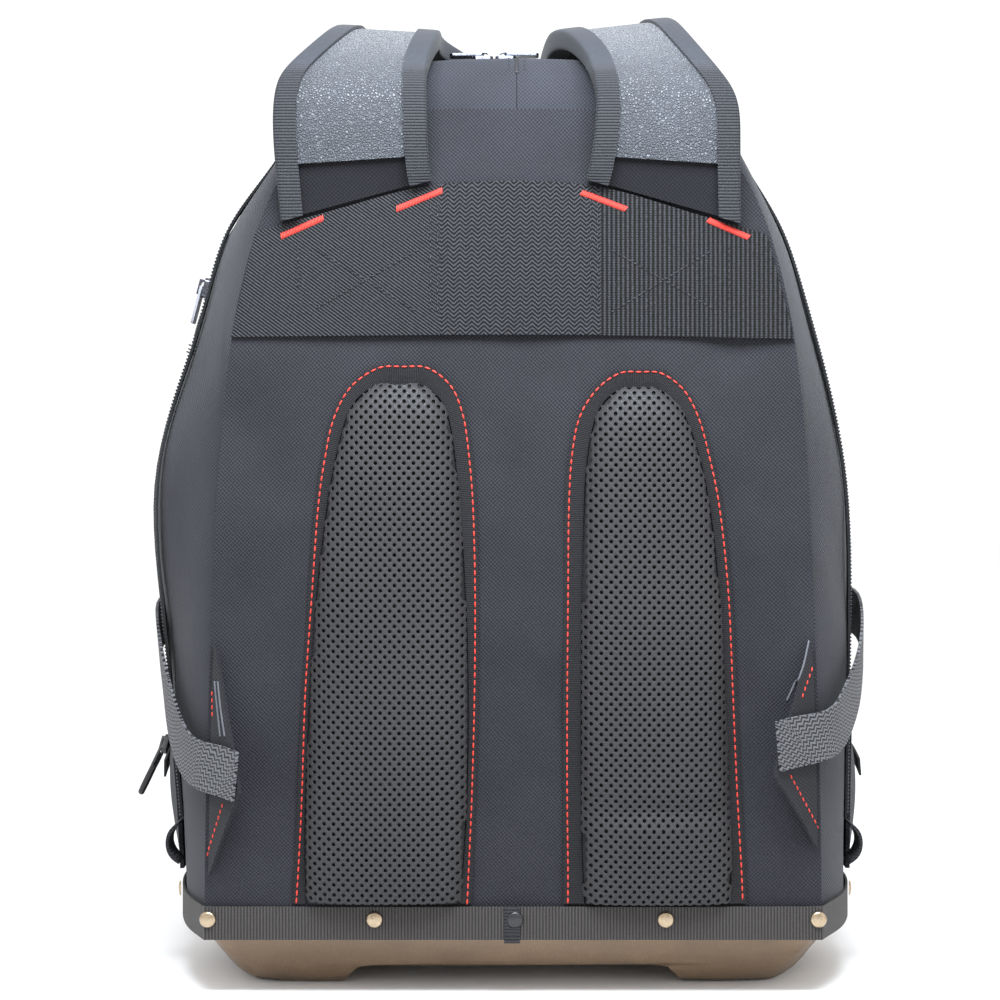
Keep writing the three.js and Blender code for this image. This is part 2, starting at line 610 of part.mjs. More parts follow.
function buildTray() {
  const outline = trayOutline();
  const levels = [
    { height: 0, inset: FOOT_INSET },
    { height: FOOT_ROUND_HEIGHT, inset: FOOT_ROUND_INSET },
    { height: FOOT_HEIGHT - 2, inset: FOOT_TOP_INSET },
    { height: SKIRT_HEIGHT, inset: SKIRT_INSET },
    { height: HEM_HEIGHT, inset: 0.5 },
    { height: BASE_RIM_HEIGHT, inset: 0.5 },
  ];
  const over = 5;
  const hollowHeight = (height, index) => {
    if (index === 0) return BASE_WALL;
    return index < levels.length - 1 ? height : height + over;
  };
  const outer = levels.map(({ height, inset }) => insetLoop(outline, inset, height));
  const inner = levels.map(({ height, inset }, index) => (
    insetLoop(outline, inset + BASE_WALL, hollowHeight(height, index))));
  const hollow = cut(loft(inner), archCuts(BASE_WALL));
  return cut(cut(loft(outer), archCuts(0)), hollow);
}

function bandPoint(place, lift, height) {
  if (place.back !== undefined) {
    const x = place.back * SEAM_HALF_WIDTH;
    return vector(x, panelFace(x, height) - lift, height);
  }
  const station = zipStation(BAND_HIGH);
  const point = place.side === undefined
    ? frontLifted(place.front, station, lift) : shellLifted(place.side, station, place.depth, lift);
  point.z = height;
  return point;
}

function bandPlaces() {
  const depths = [0.16, 0.5, 1].map((share) => share * ZIP_DEPTH);
  depths.push(...steps(ZIP_DEPTH, BASE_DEPTH, 5).slice(1));
  const side = (sign) => depths.map((depth) => ({ side: sign, depth }));
  return [
    ...[-1, -0.6, -0.2, 0.2, 0.6, 1].map((back) => ({ back })),
    ...side(1),
    ...[...FRONT_ACROSS].reverse().map((front) => ({ front })),
    ...side(-1).reverse(),
  ];
}

function buildBand() {
  const rows = (lift) => [BAND_LOW, (BAND_LOW + BAND_HIGH) / 2, BAND_HIGH].map((height) => (
    bandPlaces().map((place) => bandPoint(place, lift, height))));
  return wall(rows(CLEAR + 1 + TAPE), rows(CLEAR + 1), true);
}

// Zip tapes

const archPlaces = (from) => {
  const stations = SHELL_STATIONS.filter((station) => station >= from);
  const left = stations.map((station) => ({ side: -1, station }));
  const right = stations.slice(0, -1).map((station) => ({ side: 1, station })).reverse();
  return [...left, ...right];
};

function buildArchTape(from, depthAt) {
  const rows = (lift) => archPlaces(from).map(({ side, station }) => (
    [-0.5, 0.5].map((across) => shellLifted(side, station, depthAt(station) + across * ZIP_WIDTH, lift))));
  return wall(rows(TAPE_LIFT + TAPE), rows(TAPE_LIFT));
}

const frontZipDepth = (station) => alongBody(station, FRONT_ZIP_ALONG);

// Low pocket

const POCKET_PLACES = [
  ...BODY_SHARES.map((along) => ({ side: -1, along })),
  ...FRONT_ACROSS.map((across) => ({ across })),
  ...[...BODY_SHARES].reverse().map((along) => ({ side: 1, along })),
];

// A point over the pocket's ground, between its lower edge (up 0) and upper edge (up 1).
function pocketPoint(column, up, lift) {
  const last = POCKET_PLACES.length - 1;
  const place = POCKET_PLACES[column];
  const round = Math.abs(2 * column / last - 1);
  const top = mix(POCKET_FRONT_HIGH, POCKET_SIDE_HIGH, round ** 2);
  const station = zipStation(mix(POCKET_LOW, top, up));
  const swell = POCKET_BULGE * Math.sin(Math.PI * up) ** 0.7 * (1 - round ** 6);
  return place.side === undefined
    ? frontLifted(place.across, station, lift + swell)
    : shellLifted(place.side, station, alongBody(station, place.along), lift + swell);
}

function buildPocket() {
  const columns = POCKET_PLACES.map((_, index) => index);
  const rows = (lift) => steps(0, 1, 6).map((up) => columns.map((column) => pocketPoint(column, up, lift)));
  return wall(rows(POCKET_LIFT + CLOTH), rows(POCKET_LIFT));
}

// The pocket's zip follows its upper edge and turns down at both ends.
const pocketZipUp = (column) => {
  const round = Math.abs(2 * column / (POCKET_PLACES.length - 1) - 1);
  return 0.8 - 0.35 * round ** 8;
};

const POCKET_TAPE_LIFT = POCKET_LIFT + CLOTH + 2 * CLEAR;

function buildPocketTape() {
  const columns = POCKET_PLACES.map((_, index) => index).slice(1, -1);
  const rows = (lift) => [-0.5, 0.5].map((half) => columns.map((column) => {
    const share = half * ZIP_WIDTH / (POCKET_FRONT_HIGH - POCKET_LOW);
    return pocketPoint(column, pocketZipUp(column) + share, lift);
  }));
  return wall(rows(POCKET_TAPE_LIFT + TAPE), rows(POCKET_TAPE_LIFT));
}

// Yoke

function yokeTop(x) {
  const place = placeWhere((at) => sample(YOKE, at).topAcross * SEAM_HALF_WIDTH, x, 0, YOKE.length - 1);
  return HEM_HEIGHT + (SEAM_HEIGHT - HEM_HEIGHT) * sample(YOKE, place).topHigh;
}

function buildYoke() {
  const rise = SEAM_HEIGHT - HEM_HEIGHT;
  const rows = (lift) => steps(0, 1, 3).map((up) => (
    onPanel(steps(0, YOKE.length - 1, 10).map((place) => {
      const row = sample(YOKE, place);
      const across = mix(row.lowAcross, row.topAcross, up) * SEAM_HALF_WIDTH;
      return vector(across, 0, HEM_HEIGHT + rise * mix(row.lowHigh, row.topHigh, up));
    }), lift)));
  return wall(rows(CLEAR + YOKE_THICK), rows(CLEAR));
}

// Back pads and their sewn flanges

const padX = (side, share) => side * share * SEAM_HALF_WIDTH;
const padZ = (share) => PAD_FOOT + share * PAD_LENGTH;

const PAD_SHOULDER = 7;
const PAD_PLACES = [...steps(0, PAD_SHOULDER, PAD_SHOULDER), 7.6, 8.2, 8.7, 9];

function buildPad(side, table) {
  const shares = [-1, -0.93, -0.72, -0.3, 0.3, 0.72, 0.93, 1];
  const places = [0, 0.25, ...PAD_PLACES.slice(1)];
  const face = [];
  const back = [];
  for (const place of places) {
    const row = sample(table, place);
    const nearFoot = clamp(row.high * PAD_LENGTH / PAD_THICK, 0, 1);
    const nearTop = clamp((1 - row.high) * PAD_LENGTH / PAD_THICK / 2, 0.12, 1);
    const puff = Math.sqrt(1 - (1 - nearFoot) ** 2) * 0.75 + 0.25;
    const crown = puff * Math.sqrt(1 - (1 - nearTop) ** 2);
    const across = shares.map((share) => vector(
      padX(side, mix(row.in, row.out, (share + 1) / 2)), 0, padZ(row.high)));
    const rise = shares.map((share) => 1 + (PAD_THICK - 1) * crown * (1 - Math.abs(share) ** 3.2) ** 0.5);
    const ground = onPanel(across, CLEAR);
    back.push(ground);
    face.push(ground.map((point, index) => vector(point.x, point.y - rise[index], point.z)));
  }
  return wall(face, back);
}

// The flange runs up the outer side, round the top and down the inner side of its pad.
function buildFlange(side, table) {
  const path = [
    ...PAD_PLACES.map((place) => ({ place, edge: 'out', sewn: 'sewOut' })),
    ...[...PAD_PLACES].reverse().map((place) => ({ place, edge: 'in', sewn: 'sewIn' })),
  ];
  const rows = (lift) => path.map(({ place, edge, sewn }) => {
    const row = sample(table, place);
    const gap = 2 * CLEAR * (edge === 'out' ? 1 : -1);
    const rise = place > PAD_SHOULDER ? 2 * CLEAR : 0;
    const near = vector(padX(side, row[edge]) + side * gap, 0, padZ(row.high) + rise);
    const far = vector(padX(side, row[sewn]), 0, padZ(row.sewHigh));
    return onPanel([near, near.clone().lerp(far, 0.5), far], lift);
  });
  return wall(rows(CLEAR + FLANGE_THICK), rows(CLEAR));
}

// Shoulder straps

// A strap's first row is sewn down just above the yoke.
function sewnRow(side, row) {
  const sewn = { ...row };
  for (const edge of ['out', 'in']) {
    const x = side * row[`${edge}X`] * SEAM_HALF_WIDTH;
    const height = yokeTop(x) + 1;
    sewn[`${edge}Y`] = (panelFace(x, height) - CLEAR - STRAP_LEAST) / BASE_DEPTH;
    sewn[`${edge}Z`] = height / BAG_HEIGHT;
  }
  return sewn;
}

// Frames along a strap: a point at each edge of its outer face and the direction that faces out.
function strapFrames(side, table) {
  const rows = [sewnRow(side, table[0]), ...table.slice(1), ...STRAP_FRONT];
  const frames = steps(0, rows.length - 1, 1.5 * (rows.length - 1)).map((place) => {
    const row = sample(rows, place);
    return {
      out: vector(side * row.outX * SEAM_HALF_WIDTH, row.outY * BASE_DEPTH, row.outZ * BAG_HEIGHT),
      inside: vector(side * row.inX * SEAM_HALF_WIDTH, row.inY * BASE_DEPTH, row.inZ * BAG_HEIGHT),
      thick: Math.max(row.thick * STRAP_THICK, STRAP_LEAST),
    };
  });
  frames.forEach((frame, index) => {
    const before = frames[Math.max(index - 1, 0)];
    const after = frames[Math.min(index + 1, frames.length - 1)];
    const onward = after.out.clone().add(after.inside).sub(before.out).sub(before.inside);
    const across = frame.out.clone().sub(frame.inside);
    frame.width = across.length();
    frame.across = across.normalize();
    frame.normal = onward.cross(frame.across).multiplyScalar(-side).normalize();
  });
  return frames;
}

// A layer of a strap between two depths under its outer face, with a margin at both edges.
function strapLayer(frames, columns, margin, from, to) {
  const rows = (depthOf) => frames.map((frame) => steps(0, 1, columns).map((share) => {
    const span = mix(margin, frame.width - margin, share);
    const point = frame.inside.clone().addScaledVector(frame.across, span);
    return point.addScaledVector(frame.normal, -depthOf(frame));
  }));
  return wall(rows(from), rows(to));
}

const LEATHER_START = 2;

function buildStrapPad(frames) {
  const top = BINDING + 2 * CLEAR + LEATHER;
  return strapLayer(frames, 3, BINDING + 2 * CLEAR, () => top, (frame) => frame.thick - BINDING - CLEAR);
}

function buildStrapLeather(frames) {
  const top = BINDING + CLEAR;
  return strapLayer(frames.slice(LEATHER_START), 3, BINDING + 2 * CLEAR, () => top, () => top + LEATHER);
}

// Binding tape, folded round one edge of a strap in a C.
function buildBinding(frames, atOuter) {
  const rows = (layer) => frames.map((frame) => {
    const edge = atOuter ? frame.out : frame.inside;
    const inward = frame.across.clone().multiplyScalar(atOuter ? -1 : 1);
    const deep = frame.thick;
    const inset = layer * BINDING;
    const round = mix(0.8, 0.2, layer);
    const profile = [
      { along: BINDING_WIDTH, down: inset },
      { along: inset + round, down: inset },
      { along: inset, down: inset + round },
      { along: inset, down: deep - inset - round },
      { along: inset + round, down: deep - inset },
      { along: BINDING_WIDTH, down: deep - inset },
    ];
    return profile.map(({ along, down }) => edge.clone().addScaledVector(inward, along)
      .addScaledVector(frame.normal, -down));
  });
  return wall(rows(0), rows(1));
}

// Flaps in the side seams and the webbing that they hold

function wingPoint(side, row, across) {
  const { bottom, lean } = wingSizes(side);
  const height = mix(WING_TOP, bottom, row.along);
  const root = SEAM_HALF_WIDTH * sample(ARCH, seamStation(height)).seamWide - 2;
  const reach = row.reach * across;
  const foot = -PANEL_THICK / 2 - CLEAR - WING_THICK;
  return vector(side * (root - reach * lean), foot - reach * WING_REACH, height);
}

function buildWing(side) {
  const lay = vector(-side * WING_REACH, wingSizes(side).lean, 0).normalize();
  const rows = (lift) => WING.map((row) => [0, 0.5, 1].map((across) => (
    wingPoint(side, row, across).addScaledVector(lay, lift * WING_THICK))));
  return wall(rows(0), rows(0.75));
}

// A flat strip through points, facing the given directions.
function ribbon(points, normals, width, thick) {
  const rows = (lift) => points.map((point, index) => {
    const before = points[Math.max(index - 1, 0)];
    const after = points[Math.min(index + 1, points.length - 1)];
    const across = normals[index].clone().cross(after.clone().sub(before)).normalize();
    return [-0.5, 0, 0.5].map((share) => point.clone().addScaledVector(across, share * width)
      .addScaledVector(normals[index], lift));
  });
  return wall(rows(thick), rows(0));
}

function buildAnchor(side) {
  const { lean, hold } = wingSizes(side);
  const facing = vector(side * WING_REACH, -lean, 0).normalize();
  const points = [];
  const inward = [];
  const follow = (point, normal) => {
    points.push(point);
    inward.push(normal.clone().negate());
  };
  for (const across of [0.98, 0.5]) {
    const row = { along: mix(hold - 0.01, hold + 0.03, across), reach: 1 };
    follow(wingPoint(side, row, across).addScaledVector(facing, 3 * CLEAR + WEBBING), facing);
  }
  for (const row of side < 0 ? ANCHOR_LEFT : ANCHOR_RIGHT) {
    const station = zipStation(row.high * BAG_HEIGHT);
    const depth = row.along * frontEdge(station);
    const lift = row.off * ANCHOR_STANDOFF + WEBBING;
    follow(shellLifted(side, station, depth, lift), shellNormal(side, station, depth));
  }
  for (const row of ANCHOR_FRONT) {
    const station = frontStation(row.high * BAG_HEIGHT);
    const lift = row.off * ANCHOR_STANDOFF + WEBBING;
    follow(frontLifted(side * row.across, station, lift), frontNormal(side * row.across, station));
  }
  const bar = -BUCKLE_HEIGHT / 2 + BUCKLE_RIM;
  for (const turn of lockTurn(bar, -1, ANCHOR_RUN_IN, ANCHOR_TAIL)) {
    points.push(lockPoint(side, turn.up, turn.out));
    inward.push(lockDirection(side, turn.faceUp, turn.faceOut));
  }
  return ribbon(points, inward, ANCHOR_WIDTH, WEBBING);
}

// Ladder locks under the ends of the straps, turned toward the webbing that they hold

function lockBasis(side) {
  const end = STRAP_FRONT.at(-1);
  const x = side * 0.5 * (end.outX + end.inX) * SEAM_HALF_WIDTH;
  const turn = -side * LOCK_TURN;
  const reach = BUCKLE_HEIGHT / 2 + LOCK_DROP;
  const middle = end.outZ * BAG_HEIGHT - reach * Math.cos(turn);
  const station = frontStation(middle);
  const across = frontAcross(x - reach * Math.sin(turn), station);
  const normal = frontNormal(across, station);
  const up = vector(0, 0, 1).projectOnPlane(normal).normalize().applyAxisAngle(normal, -turn);
  const basis = new THREE.Matrix4().makeBasis(up.clone().cross(normal), up, normal);
  return basis.setPosition(frontLifted(across, station, LOCK_LIFT));
}

const lockPoint = (side, up, out) => vector(0, up, out).applyMatrix4(lockBasis(side));
const lockDirection = (side, up, out) => vector(0, up, out).transformDirection(lockBasis(side));

// Webbing that comes from behind or in front of a bar, through the slot beside it and back again.
function lockTurn(bar, sense, near, far) {
  const slot = bar - sense * (CLEAR + 0.4);
  const away = bar + sense * 1.2;
  const [low, high] = [-CLEAR - 0.2, BUCKLE_THICK + CLEAR + 0.2];
  return [
    { up: away + sense * near, out: low, faceUp: 0, faceOut: -1 },
    { up: away, out: low, faceUp: 0, faceOut: -1 },
    { up: slot, out: low + 0.5, faceUp: -sense * 0.8, faceOut: -0.6 },
    { up: slot, out: high - 0.5, faceUp: -sense * 0.8, faceOut: 0.6 },
    { up: away, out: high, faceUp: 0, faceOut: 1 },
    { up: away + sense * far, out: high, faceUp: 0, faceOut: 1 },
  ];
}

function buildBuckle(side) {
  const slotHeight = (BUCKLE_HEIGHT - 3 * BUCKLE_RIM) / 2;
  const shift = (slotHeight + BUCKLE_RIM) / 2;
  const slot = (up) => block(BUCKLE_WIDTH - 2 * BUCKLE_RIM, slotHeight, 3 * BUCKLE_THICK, 0, up, 0);
  const plate = roundedPlate(BUCKLE_WIDTH, BUCKLE_HEIGHT, BUCKLE_THICK, 3);
  return cut(cut(plate, slot(shift)), slot(-shift)).applyMatrix4(lockBasis(side));
}

function buildTongue(side) {
  const bar = BUCKLE_HEIGHT / 2 - BUCKLE_RIM;
  const reach = LOCK_DROP + BUCKLE_RIM - 0.5 * TONGUE_WIDTH * Math.tan(LOCK_TURN) - 5;
  const turns = lockTurn(bar, 1, reach, reach);
  const points = turns.map((turn) => lockPoint(side, turn.up, turn.out));
  const normals = turns.map((turn) => lockDirection(side, turn.faceUp, turn.faceOut));
  return ribbon(points, normals, TONGUE_WIDTH, WEBBING);
}

// Zip sliders and pulls, made at a middle on the tape with the pull lying toward +X

function buildSliderShape() {
  const body = roundedPlate(SLIDER_LENGTH, SLIDER_WIDTH, SLIDER_BODY, 2.5);
  const rise = 2 * PULL_PLAY + PULL_THICK;
  const bridge = block(BRIDGE_SPAN, BRIDGE_WIDTH, rise + BRIDGE_THICK + 0.5,
    0, 0, SLIDER_BODY + (rise + BRIDGE_THICK - 0.5) / 2);
  const tunnel = block(BRIDGE_SPAN - 2 * BRIDGE_THICK, 2 * BRIDGE_WIDTH, rise, 0, 0, SLIDER_BODY + rise / 2);
  return join(body, cut(bridge, tunnel));
}

function buildPullShape(length, width) {
  const outline = roundedPlate(length, width, PULL_THICK, 2);
  outline.translate(length / 2 - PULL_THICK / 2, 0, 0);
  const hole = block(PULL_EYE_LENGTH - PULL_THICK / 2, BRIDGE_WIDTH + 2 * PULL_PLAY, 3 * PULL_THICK,
    (PULL_EYE_LENGTH + PULL_THICK / 2) / 2, 0, 0);
  return cut(outline, hole).translate(0, 0, SLIDER_BODY + PULL_PLAY);
}

// The place of a slider on the shell: its length runs along the arch, away from the top or down it.
function sliderPlace(side, station, depth, toward) {
  const normal = shellNormal(side, station, depth);
  const along = shellPoint(side, station + 0.01, depth).sub(shellPoint(side, station - 0.01, depth));
  const length = along.multiplyScalar(toward).projectOnPlane(normal).normalize();
  const place = new THREE.Matrix4().makeBasis(length, normal.clone().cross(length), normal);
  return place.setPosition(shellLifted(side, station, depth, TAPE_LIFT + TAPE + CLEAR));
}

// Tape loops low on the sides

function buildLoop(side) {
  const half = LOOP_HEIGHT / 2;
  const depth = alongBody(zipStation(LOOP_MIDDLE), BODY_SHARES[0] / 2);
  const corners = [-1, 1].flatMap((up) => [-1, 1].map((out) => (
    shellPoint(side, zipStation(LOOP_MIDDLE + up * half), depth + out * LOOP_WIDTH / 2).x * side)));
  const base = Math.max(...corners) + CLEAR;
  const shape = new THREE.Shape();
  shape.moveTo(0, half);
  shape.quadraticCurveTo(LOOP_REACH, half * 0.7, LOOP_REACH, 0);
  shape.quadraticCurveTo(LOOP_REACH, -half * 0.7, 0, -half);
  shape.lineTo(0, -half + WEBBING);
  shape.quadraticCurveTo(LOOP_REACH - WEBBING, -half * 0.6 + WEBBING, LOOP_REACH - WEBBING, 0);
  shape.quadraticCurveTo(LOOP_REACH - WEBBING, half * 0.6 - WEBBING, 0, half - WEBBING);
  const loop = new THREE.ExtrudeGeometry(shape, { depth: LOOP_WIDTH, bevelEnabled: false, curveSegments: 4 });
  loop.rotateX(Math.PI / 2);
  if (side < 0) loop.rotateZ(Math.PI);
  return loop.translate(side * base, depth + side * LOOP_WIDTH / 2, LOOP_MIDDLE);
}

// The bag

const bag = new THREE.Group();
const FINISH = {
  panel: { color: 0x4a4c54, roughness: 0.9, metalness: 0 },
  gusset: { color: 0x3f4148, roughness: 0.85, metalness: 0 },
  body: { color: 0x35373d, roughness: 0.88, metalness: 0 },
  mould: { color: 0x6f5d4b, roughness: 0.45, metalness: 0 },
  ribbed: { color: 0x4f4c48, roughness: 0.85, metalness: 0 },
  rivet: { color: 0xb9a483, roughness: 0.3, metalness: 1 },
  tape: { color: 0x1d1e22, roughness: 0.7, metalness: 0 },
  yoke: { color: 0x4b4b52, roughness: 0.8, metalness: 0 },
  mesh: { color: 0x44454a, roughness: 0.95, metalness: 0 },
  leather: { color: 0x8a929e, roughness: 0.5, metalness: 0 },
  binding: { color: 0x45474f, roughness: 0.75, metalness: 0 },
  strap: { color: 0x38393f, roughness: 0.85, metalness: 0 },
  plastic: { color: 0x1b1c1f, roughness: 0.4, metalness: 0 },
  metal: { color: 0x6d7076, roughness: 0.28, metalness: 1 },
  grey: { color: 0xa9a9b0, roughness: 0.6, metalness: 0 },
};

function add(name, geometry, finish) {
  const mesh = new THREE.Mesh(geometry, new THREE.MeshStandardMaterial(FINISH[finish]));
  mesh.name = name;
  bag.add(mesh);
  return mesh;
}

const SIDES = [{ side: -1, word: 'left' }, { side: 1, word: 'right' }];

add('back_panel', buildPanel(), 'panel');
add('front_panel', buildFrontPanel(), 'body');
add('base_tray', buildTray(), 'mould');
add('base_band', buildBand(), 'ribbed');
add('front_pocket', buildPocket(), 'body');
add('yoke_band', buildYoke(), 'yoke');
add('zipper_main', buildArchTape(1, () => ZIP_DEPTH), 'tape');
add('zipper_front', buildArchTape(2, frontZipDepth), 'tape');
add('zipper_pocket', buildPocketTape(), 'tape');

for (const { side, word } of SIDES) {
  const padTable = side < 0 ? PAD_LEFT : PAD_RIGHT;
  const frames = strapFrames(side, side < 0 ? STRAP_LEFT : STRAP_RIGHT);
  add(`gusset_${word}`, buildGusset(side), 'gusset');
  add(`body_side_${word}`, buildBodySide(side), 'body');
  add(`pad_${word}`, buildPad(side, padTable), 'mesh');
  add(`pad_flange_${word}`, buildFlange(side, padTable), 'binding');
  add(`strap_pad_${word}`, buildStrapPad(frames), 'strap');
  add(`strap_leather_${word}`, buildStrapLeather(frames), 'leather');
  add(`strap_binding_${word}_outer`, buildBinding(frames, true), 'binding');
  add(`strap_binding_${word}_inner`, buildBinding(frames, false), 'binding');
  add(`wing_${word}`, buildWing(side), 'gusset');
  add(`strap_anchor_${word}`, buildAnchor(side), 'ribbed');
  add(`strap_buckle_${word}`, buildBuckle(side), 'plastic');
  add(`strap_tongue_${word}`, buildTongue(side), 'ribbed');
  add(`side_loop_${word}`, buildLoop(side), 'ribbed');
}

// Rivets through the band: places across the back, down the sides and across the front
const RIVET_PLACES = [
  ...[-0.987, -0.448, 0.006, 0.493, 0.987].map((back) => ({ back })),
  ...[-1, 1].flatMap((side) => [0.45, 0.85].map((share) => ({ side, depth: share * BASE_DEPTH }))),
  ...[-0.8, -0.4, 0, 0.4, 0.8].map((front) => ({ front })),
];

function buildRivet(place) {
  const height = (BAND_LOW + BAND_HIGH) / 2 + 2;
  const lift = 2 * CLEAR + 1 + TAPE + CLEAR;
  const middle = bandPoint(place, lift, height);
  const out = bandPoint(place, lift + 5, height).sub(middle).normalize();
  const profile = [
    new THREE.Vector2(0, 0),
    new THREE.Vector2(RIVET_RADIUS, 0),
    new THREE.Vector2(RIVET_RADIUS * 0.9, RIVET_HEIGHT * 0.6),
    new THREE.Vector2(0, RIVET_HEIGHT),
  ];
  const cap = new THREE.LatheGeometry(profile, 8);
  cap.applyQuaternion(new THREE.Quaternion().setFromUnitVectors(vector(0, 1, 0), out));
  return cap.translate(middle.x, middle.y, middle.z);
}

RIVET_PLACES.forEach((place, index) => {
  add(`rivet_${String(index + 1).padStart(2, '0')}`, buildRivet(place), 'rivet');
});

// Sliders: two meet at the top of the main zip, one is low on the left of the front zip.
const topPlace = (x) => sliderPlace(x < TOP_SEAM_SHIFT ? -1 : 1,
  placeWhere((station) => -shellPoint(-1, station, ZIP_DEPTH).x * -1, x, TOP_STATION - 2, TOP_STATION),
  ZIP_DEPTH, 1);

function addSlider(name, place, pull) {
  add(`slider_${name}`, buildSliderShape().applyMatrix4(place), 'metal');
  add(`pull_${name}`, buildPullShape(pull.length, pull.width).applyMatrix4(place), pull.finish);
}

// The pocket's slider holds a plastic pull with a cord grip, which hangs clear of the cloth.
function addPocketPull() {
  const column = 2;
  const up = pocketZipUp(column);
  const lift = POCKET_TAPE_LIFT + TAPE + CLEAR;
  const middle = pocketPoint(column, up, lift);
  const down = pocketPoint(column, up - 0.05, lift).sub(middle);
  const onward = pocketPoint(column + 1, up, lift).sub(middle);
  const normal = down.clone().cross(onward).normalize();
  if (normal.x > 0) normal.negate();
  const length = down.addScaledVector(onward, -0.05).projectOnPlane(normal).normalize();
  const place = new THREE.Matrix4().makeBasis(length, normal.clone().cross(length), normal);
  place.setPosition(middle);
  const grip = new THREE.CapsuleGeometry(CORD_PULL_RADIUS, CORD_PULL_LENGTH, 3, 8).rotateZ(Math.PI / 2);
  grip.translate(CORD_PULL_START + CORD_PULL_LENGTH / 2, 0, SLIDER_BODY + PULL_PLAY + PULL_THICK / 2);
  const pull = join(buildPullShape(CORD_PULL_START + 2, GREY_PULL_WIDTH / 2 + 1), grip);
  const pivot = SLIDER_BODY + PULL_PLAY + PULL_THICK / 2;
  pull.translate(0, 0, -pivot).rotateY(-CORD_PULL_LEAN).translate(0, 0, pivot);
  add('slider_pocket', buildSliderShape().applyMatrix4(place), 'plastic');
  add('pull_pocket', pull.applyMatrix4(place), 'plastic');
}

const METAL_PULL = { length: METAL_PULL_LENGTH, width: METAL_PULL_WIDTH, finish: 'metal' };
const GREY_PULL = { length: GREY_PULL_LENGTH, width: GREY_PULL_WIDTH, finish: 'grey' };
const FRONT_SLIDER_STATION = 7.2;
const turnRound = new THREE.Matrix4().makeRotationZ(Math.PI);
addSlider('main_left', topPlace(LEFT_PULL_X).multiply(turnRound), METAL_PULL);
addSlider('main_right', topPlace(RIGHT_PULL_X), METAL_PULL);
addSlider('front', sliderPlace(-1, FRONT_SLIDER_STATION, frontZipDepth(FRONT_SLIDER_STATION), -1), GREY_PULL);
addPocketPull();

const box = new THREE.Box3().setFromObject(bag);
bag.position.set(-(box.min.x + box.max.x) / 2, -(box.min.y + box.max.y) / 2, -box.min.z);

export default bag;
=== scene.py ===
# %% [markdown]
# # Dressing a tool backpack
#
# The bag stands with its back to us: the padded side that lies on the wearer. The solids
# from the model give every piece its place and its main form. Here each of them gets what
# a solid has no room for: smooth cloth with its weave, mesh with real holes, leather,
# ribbed webbing, thread and metal. Every length is in metres.

# %% Load the frame
import json
import math

import bmesh
import bpy
import numpy as np
from mathutils import Matrix, Vector, kdtree, noise
from mathutils.bvhtree import BVHTree

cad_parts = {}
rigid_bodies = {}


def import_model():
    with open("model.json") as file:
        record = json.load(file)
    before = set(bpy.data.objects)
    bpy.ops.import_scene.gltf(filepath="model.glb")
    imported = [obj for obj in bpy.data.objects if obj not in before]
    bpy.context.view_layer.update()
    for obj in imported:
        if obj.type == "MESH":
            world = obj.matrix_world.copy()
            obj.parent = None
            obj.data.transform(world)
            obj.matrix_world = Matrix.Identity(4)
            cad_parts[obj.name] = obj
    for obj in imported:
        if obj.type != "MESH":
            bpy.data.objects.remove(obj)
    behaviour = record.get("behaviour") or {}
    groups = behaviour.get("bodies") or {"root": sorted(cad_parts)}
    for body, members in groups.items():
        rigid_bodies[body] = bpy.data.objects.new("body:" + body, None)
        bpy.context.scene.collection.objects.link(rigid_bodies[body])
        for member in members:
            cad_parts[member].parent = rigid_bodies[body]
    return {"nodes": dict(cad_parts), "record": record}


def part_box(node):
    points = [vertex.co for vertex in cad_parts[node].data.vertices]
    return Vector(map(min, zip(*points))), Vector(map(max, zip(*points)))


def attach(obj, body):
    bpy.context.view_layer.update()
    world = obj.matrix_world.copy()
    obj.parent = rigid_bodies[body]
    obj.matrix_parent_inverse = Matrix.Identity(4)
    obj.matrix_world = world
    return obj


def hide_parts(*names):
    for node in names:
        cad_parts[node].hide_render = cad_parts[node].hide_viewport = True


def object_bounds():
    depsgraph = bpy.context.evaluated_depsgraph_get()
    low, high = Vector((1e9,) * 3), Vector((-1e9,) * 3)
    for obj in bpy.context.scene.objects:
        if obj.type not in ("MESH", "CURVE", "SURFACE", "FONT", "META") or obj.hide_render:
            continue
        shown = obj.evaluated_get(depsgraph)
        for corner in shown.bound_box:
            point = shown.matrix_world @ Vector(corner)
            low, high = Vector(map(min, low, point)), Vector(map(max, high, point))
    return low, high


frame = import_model()
cad_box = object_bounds()
nodes = frame["nodes"]
MM = 0.001
body_of = {node: body for body, members in frame["record"]["behaviour"]["bodies"].items()
           for node in members}

# %% [markdown]
# ## A place on the bag from a place in a flat picture
#
# A picture taken straight from behind shrinks with distance. One step in it is half a
# millimetre on the back panel, and a little more on pieces further away. This helper gives
# the place of such a point, at a depth behind the seam of the back panel.

# %% Camera and places
panel_low, panel_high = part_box("back_panel")
MIDDLE = 0.5 * (panel_low.x + panel_high.x)
BACK = panel_high.y - 2.5 * MM
EYE = Vector((MIDDLE - 6.5 * MM, BACK - 1.1, 247.5 * MM))


def seen(across, down, depth=0.0):
    """The place of a point seen across and down the picture, depth metres behind the seam."""
    step = 0.5 * MM * (1 + depth / 1.1)
    return Vector((EYE.x + (across - 500) * step, BACK + depth, EYE.z + (500 - down) * step))


def at(across, height, depth=0.0):
    """A place from millimetres across from the panel's middle, up from the floor and behind the seam."""
    return Vector((MIDDLE + across * MM, BACK + depth * MM, height * MM))


lens = bpy.data.cameras.new("camera")
lens.sensor_width = 36
lens.lens = 36 * 2.2
camera = bpy.data.objects.new("camera", lens)
camera.location = EYE
camera.rotation_euler = (math.radians(90), 0, 0)
bpy.context.scene.collection.objects.link(camera)
bpy.context.scene.camera = camera
print("camera", [round(v, 3) for v in EYE])

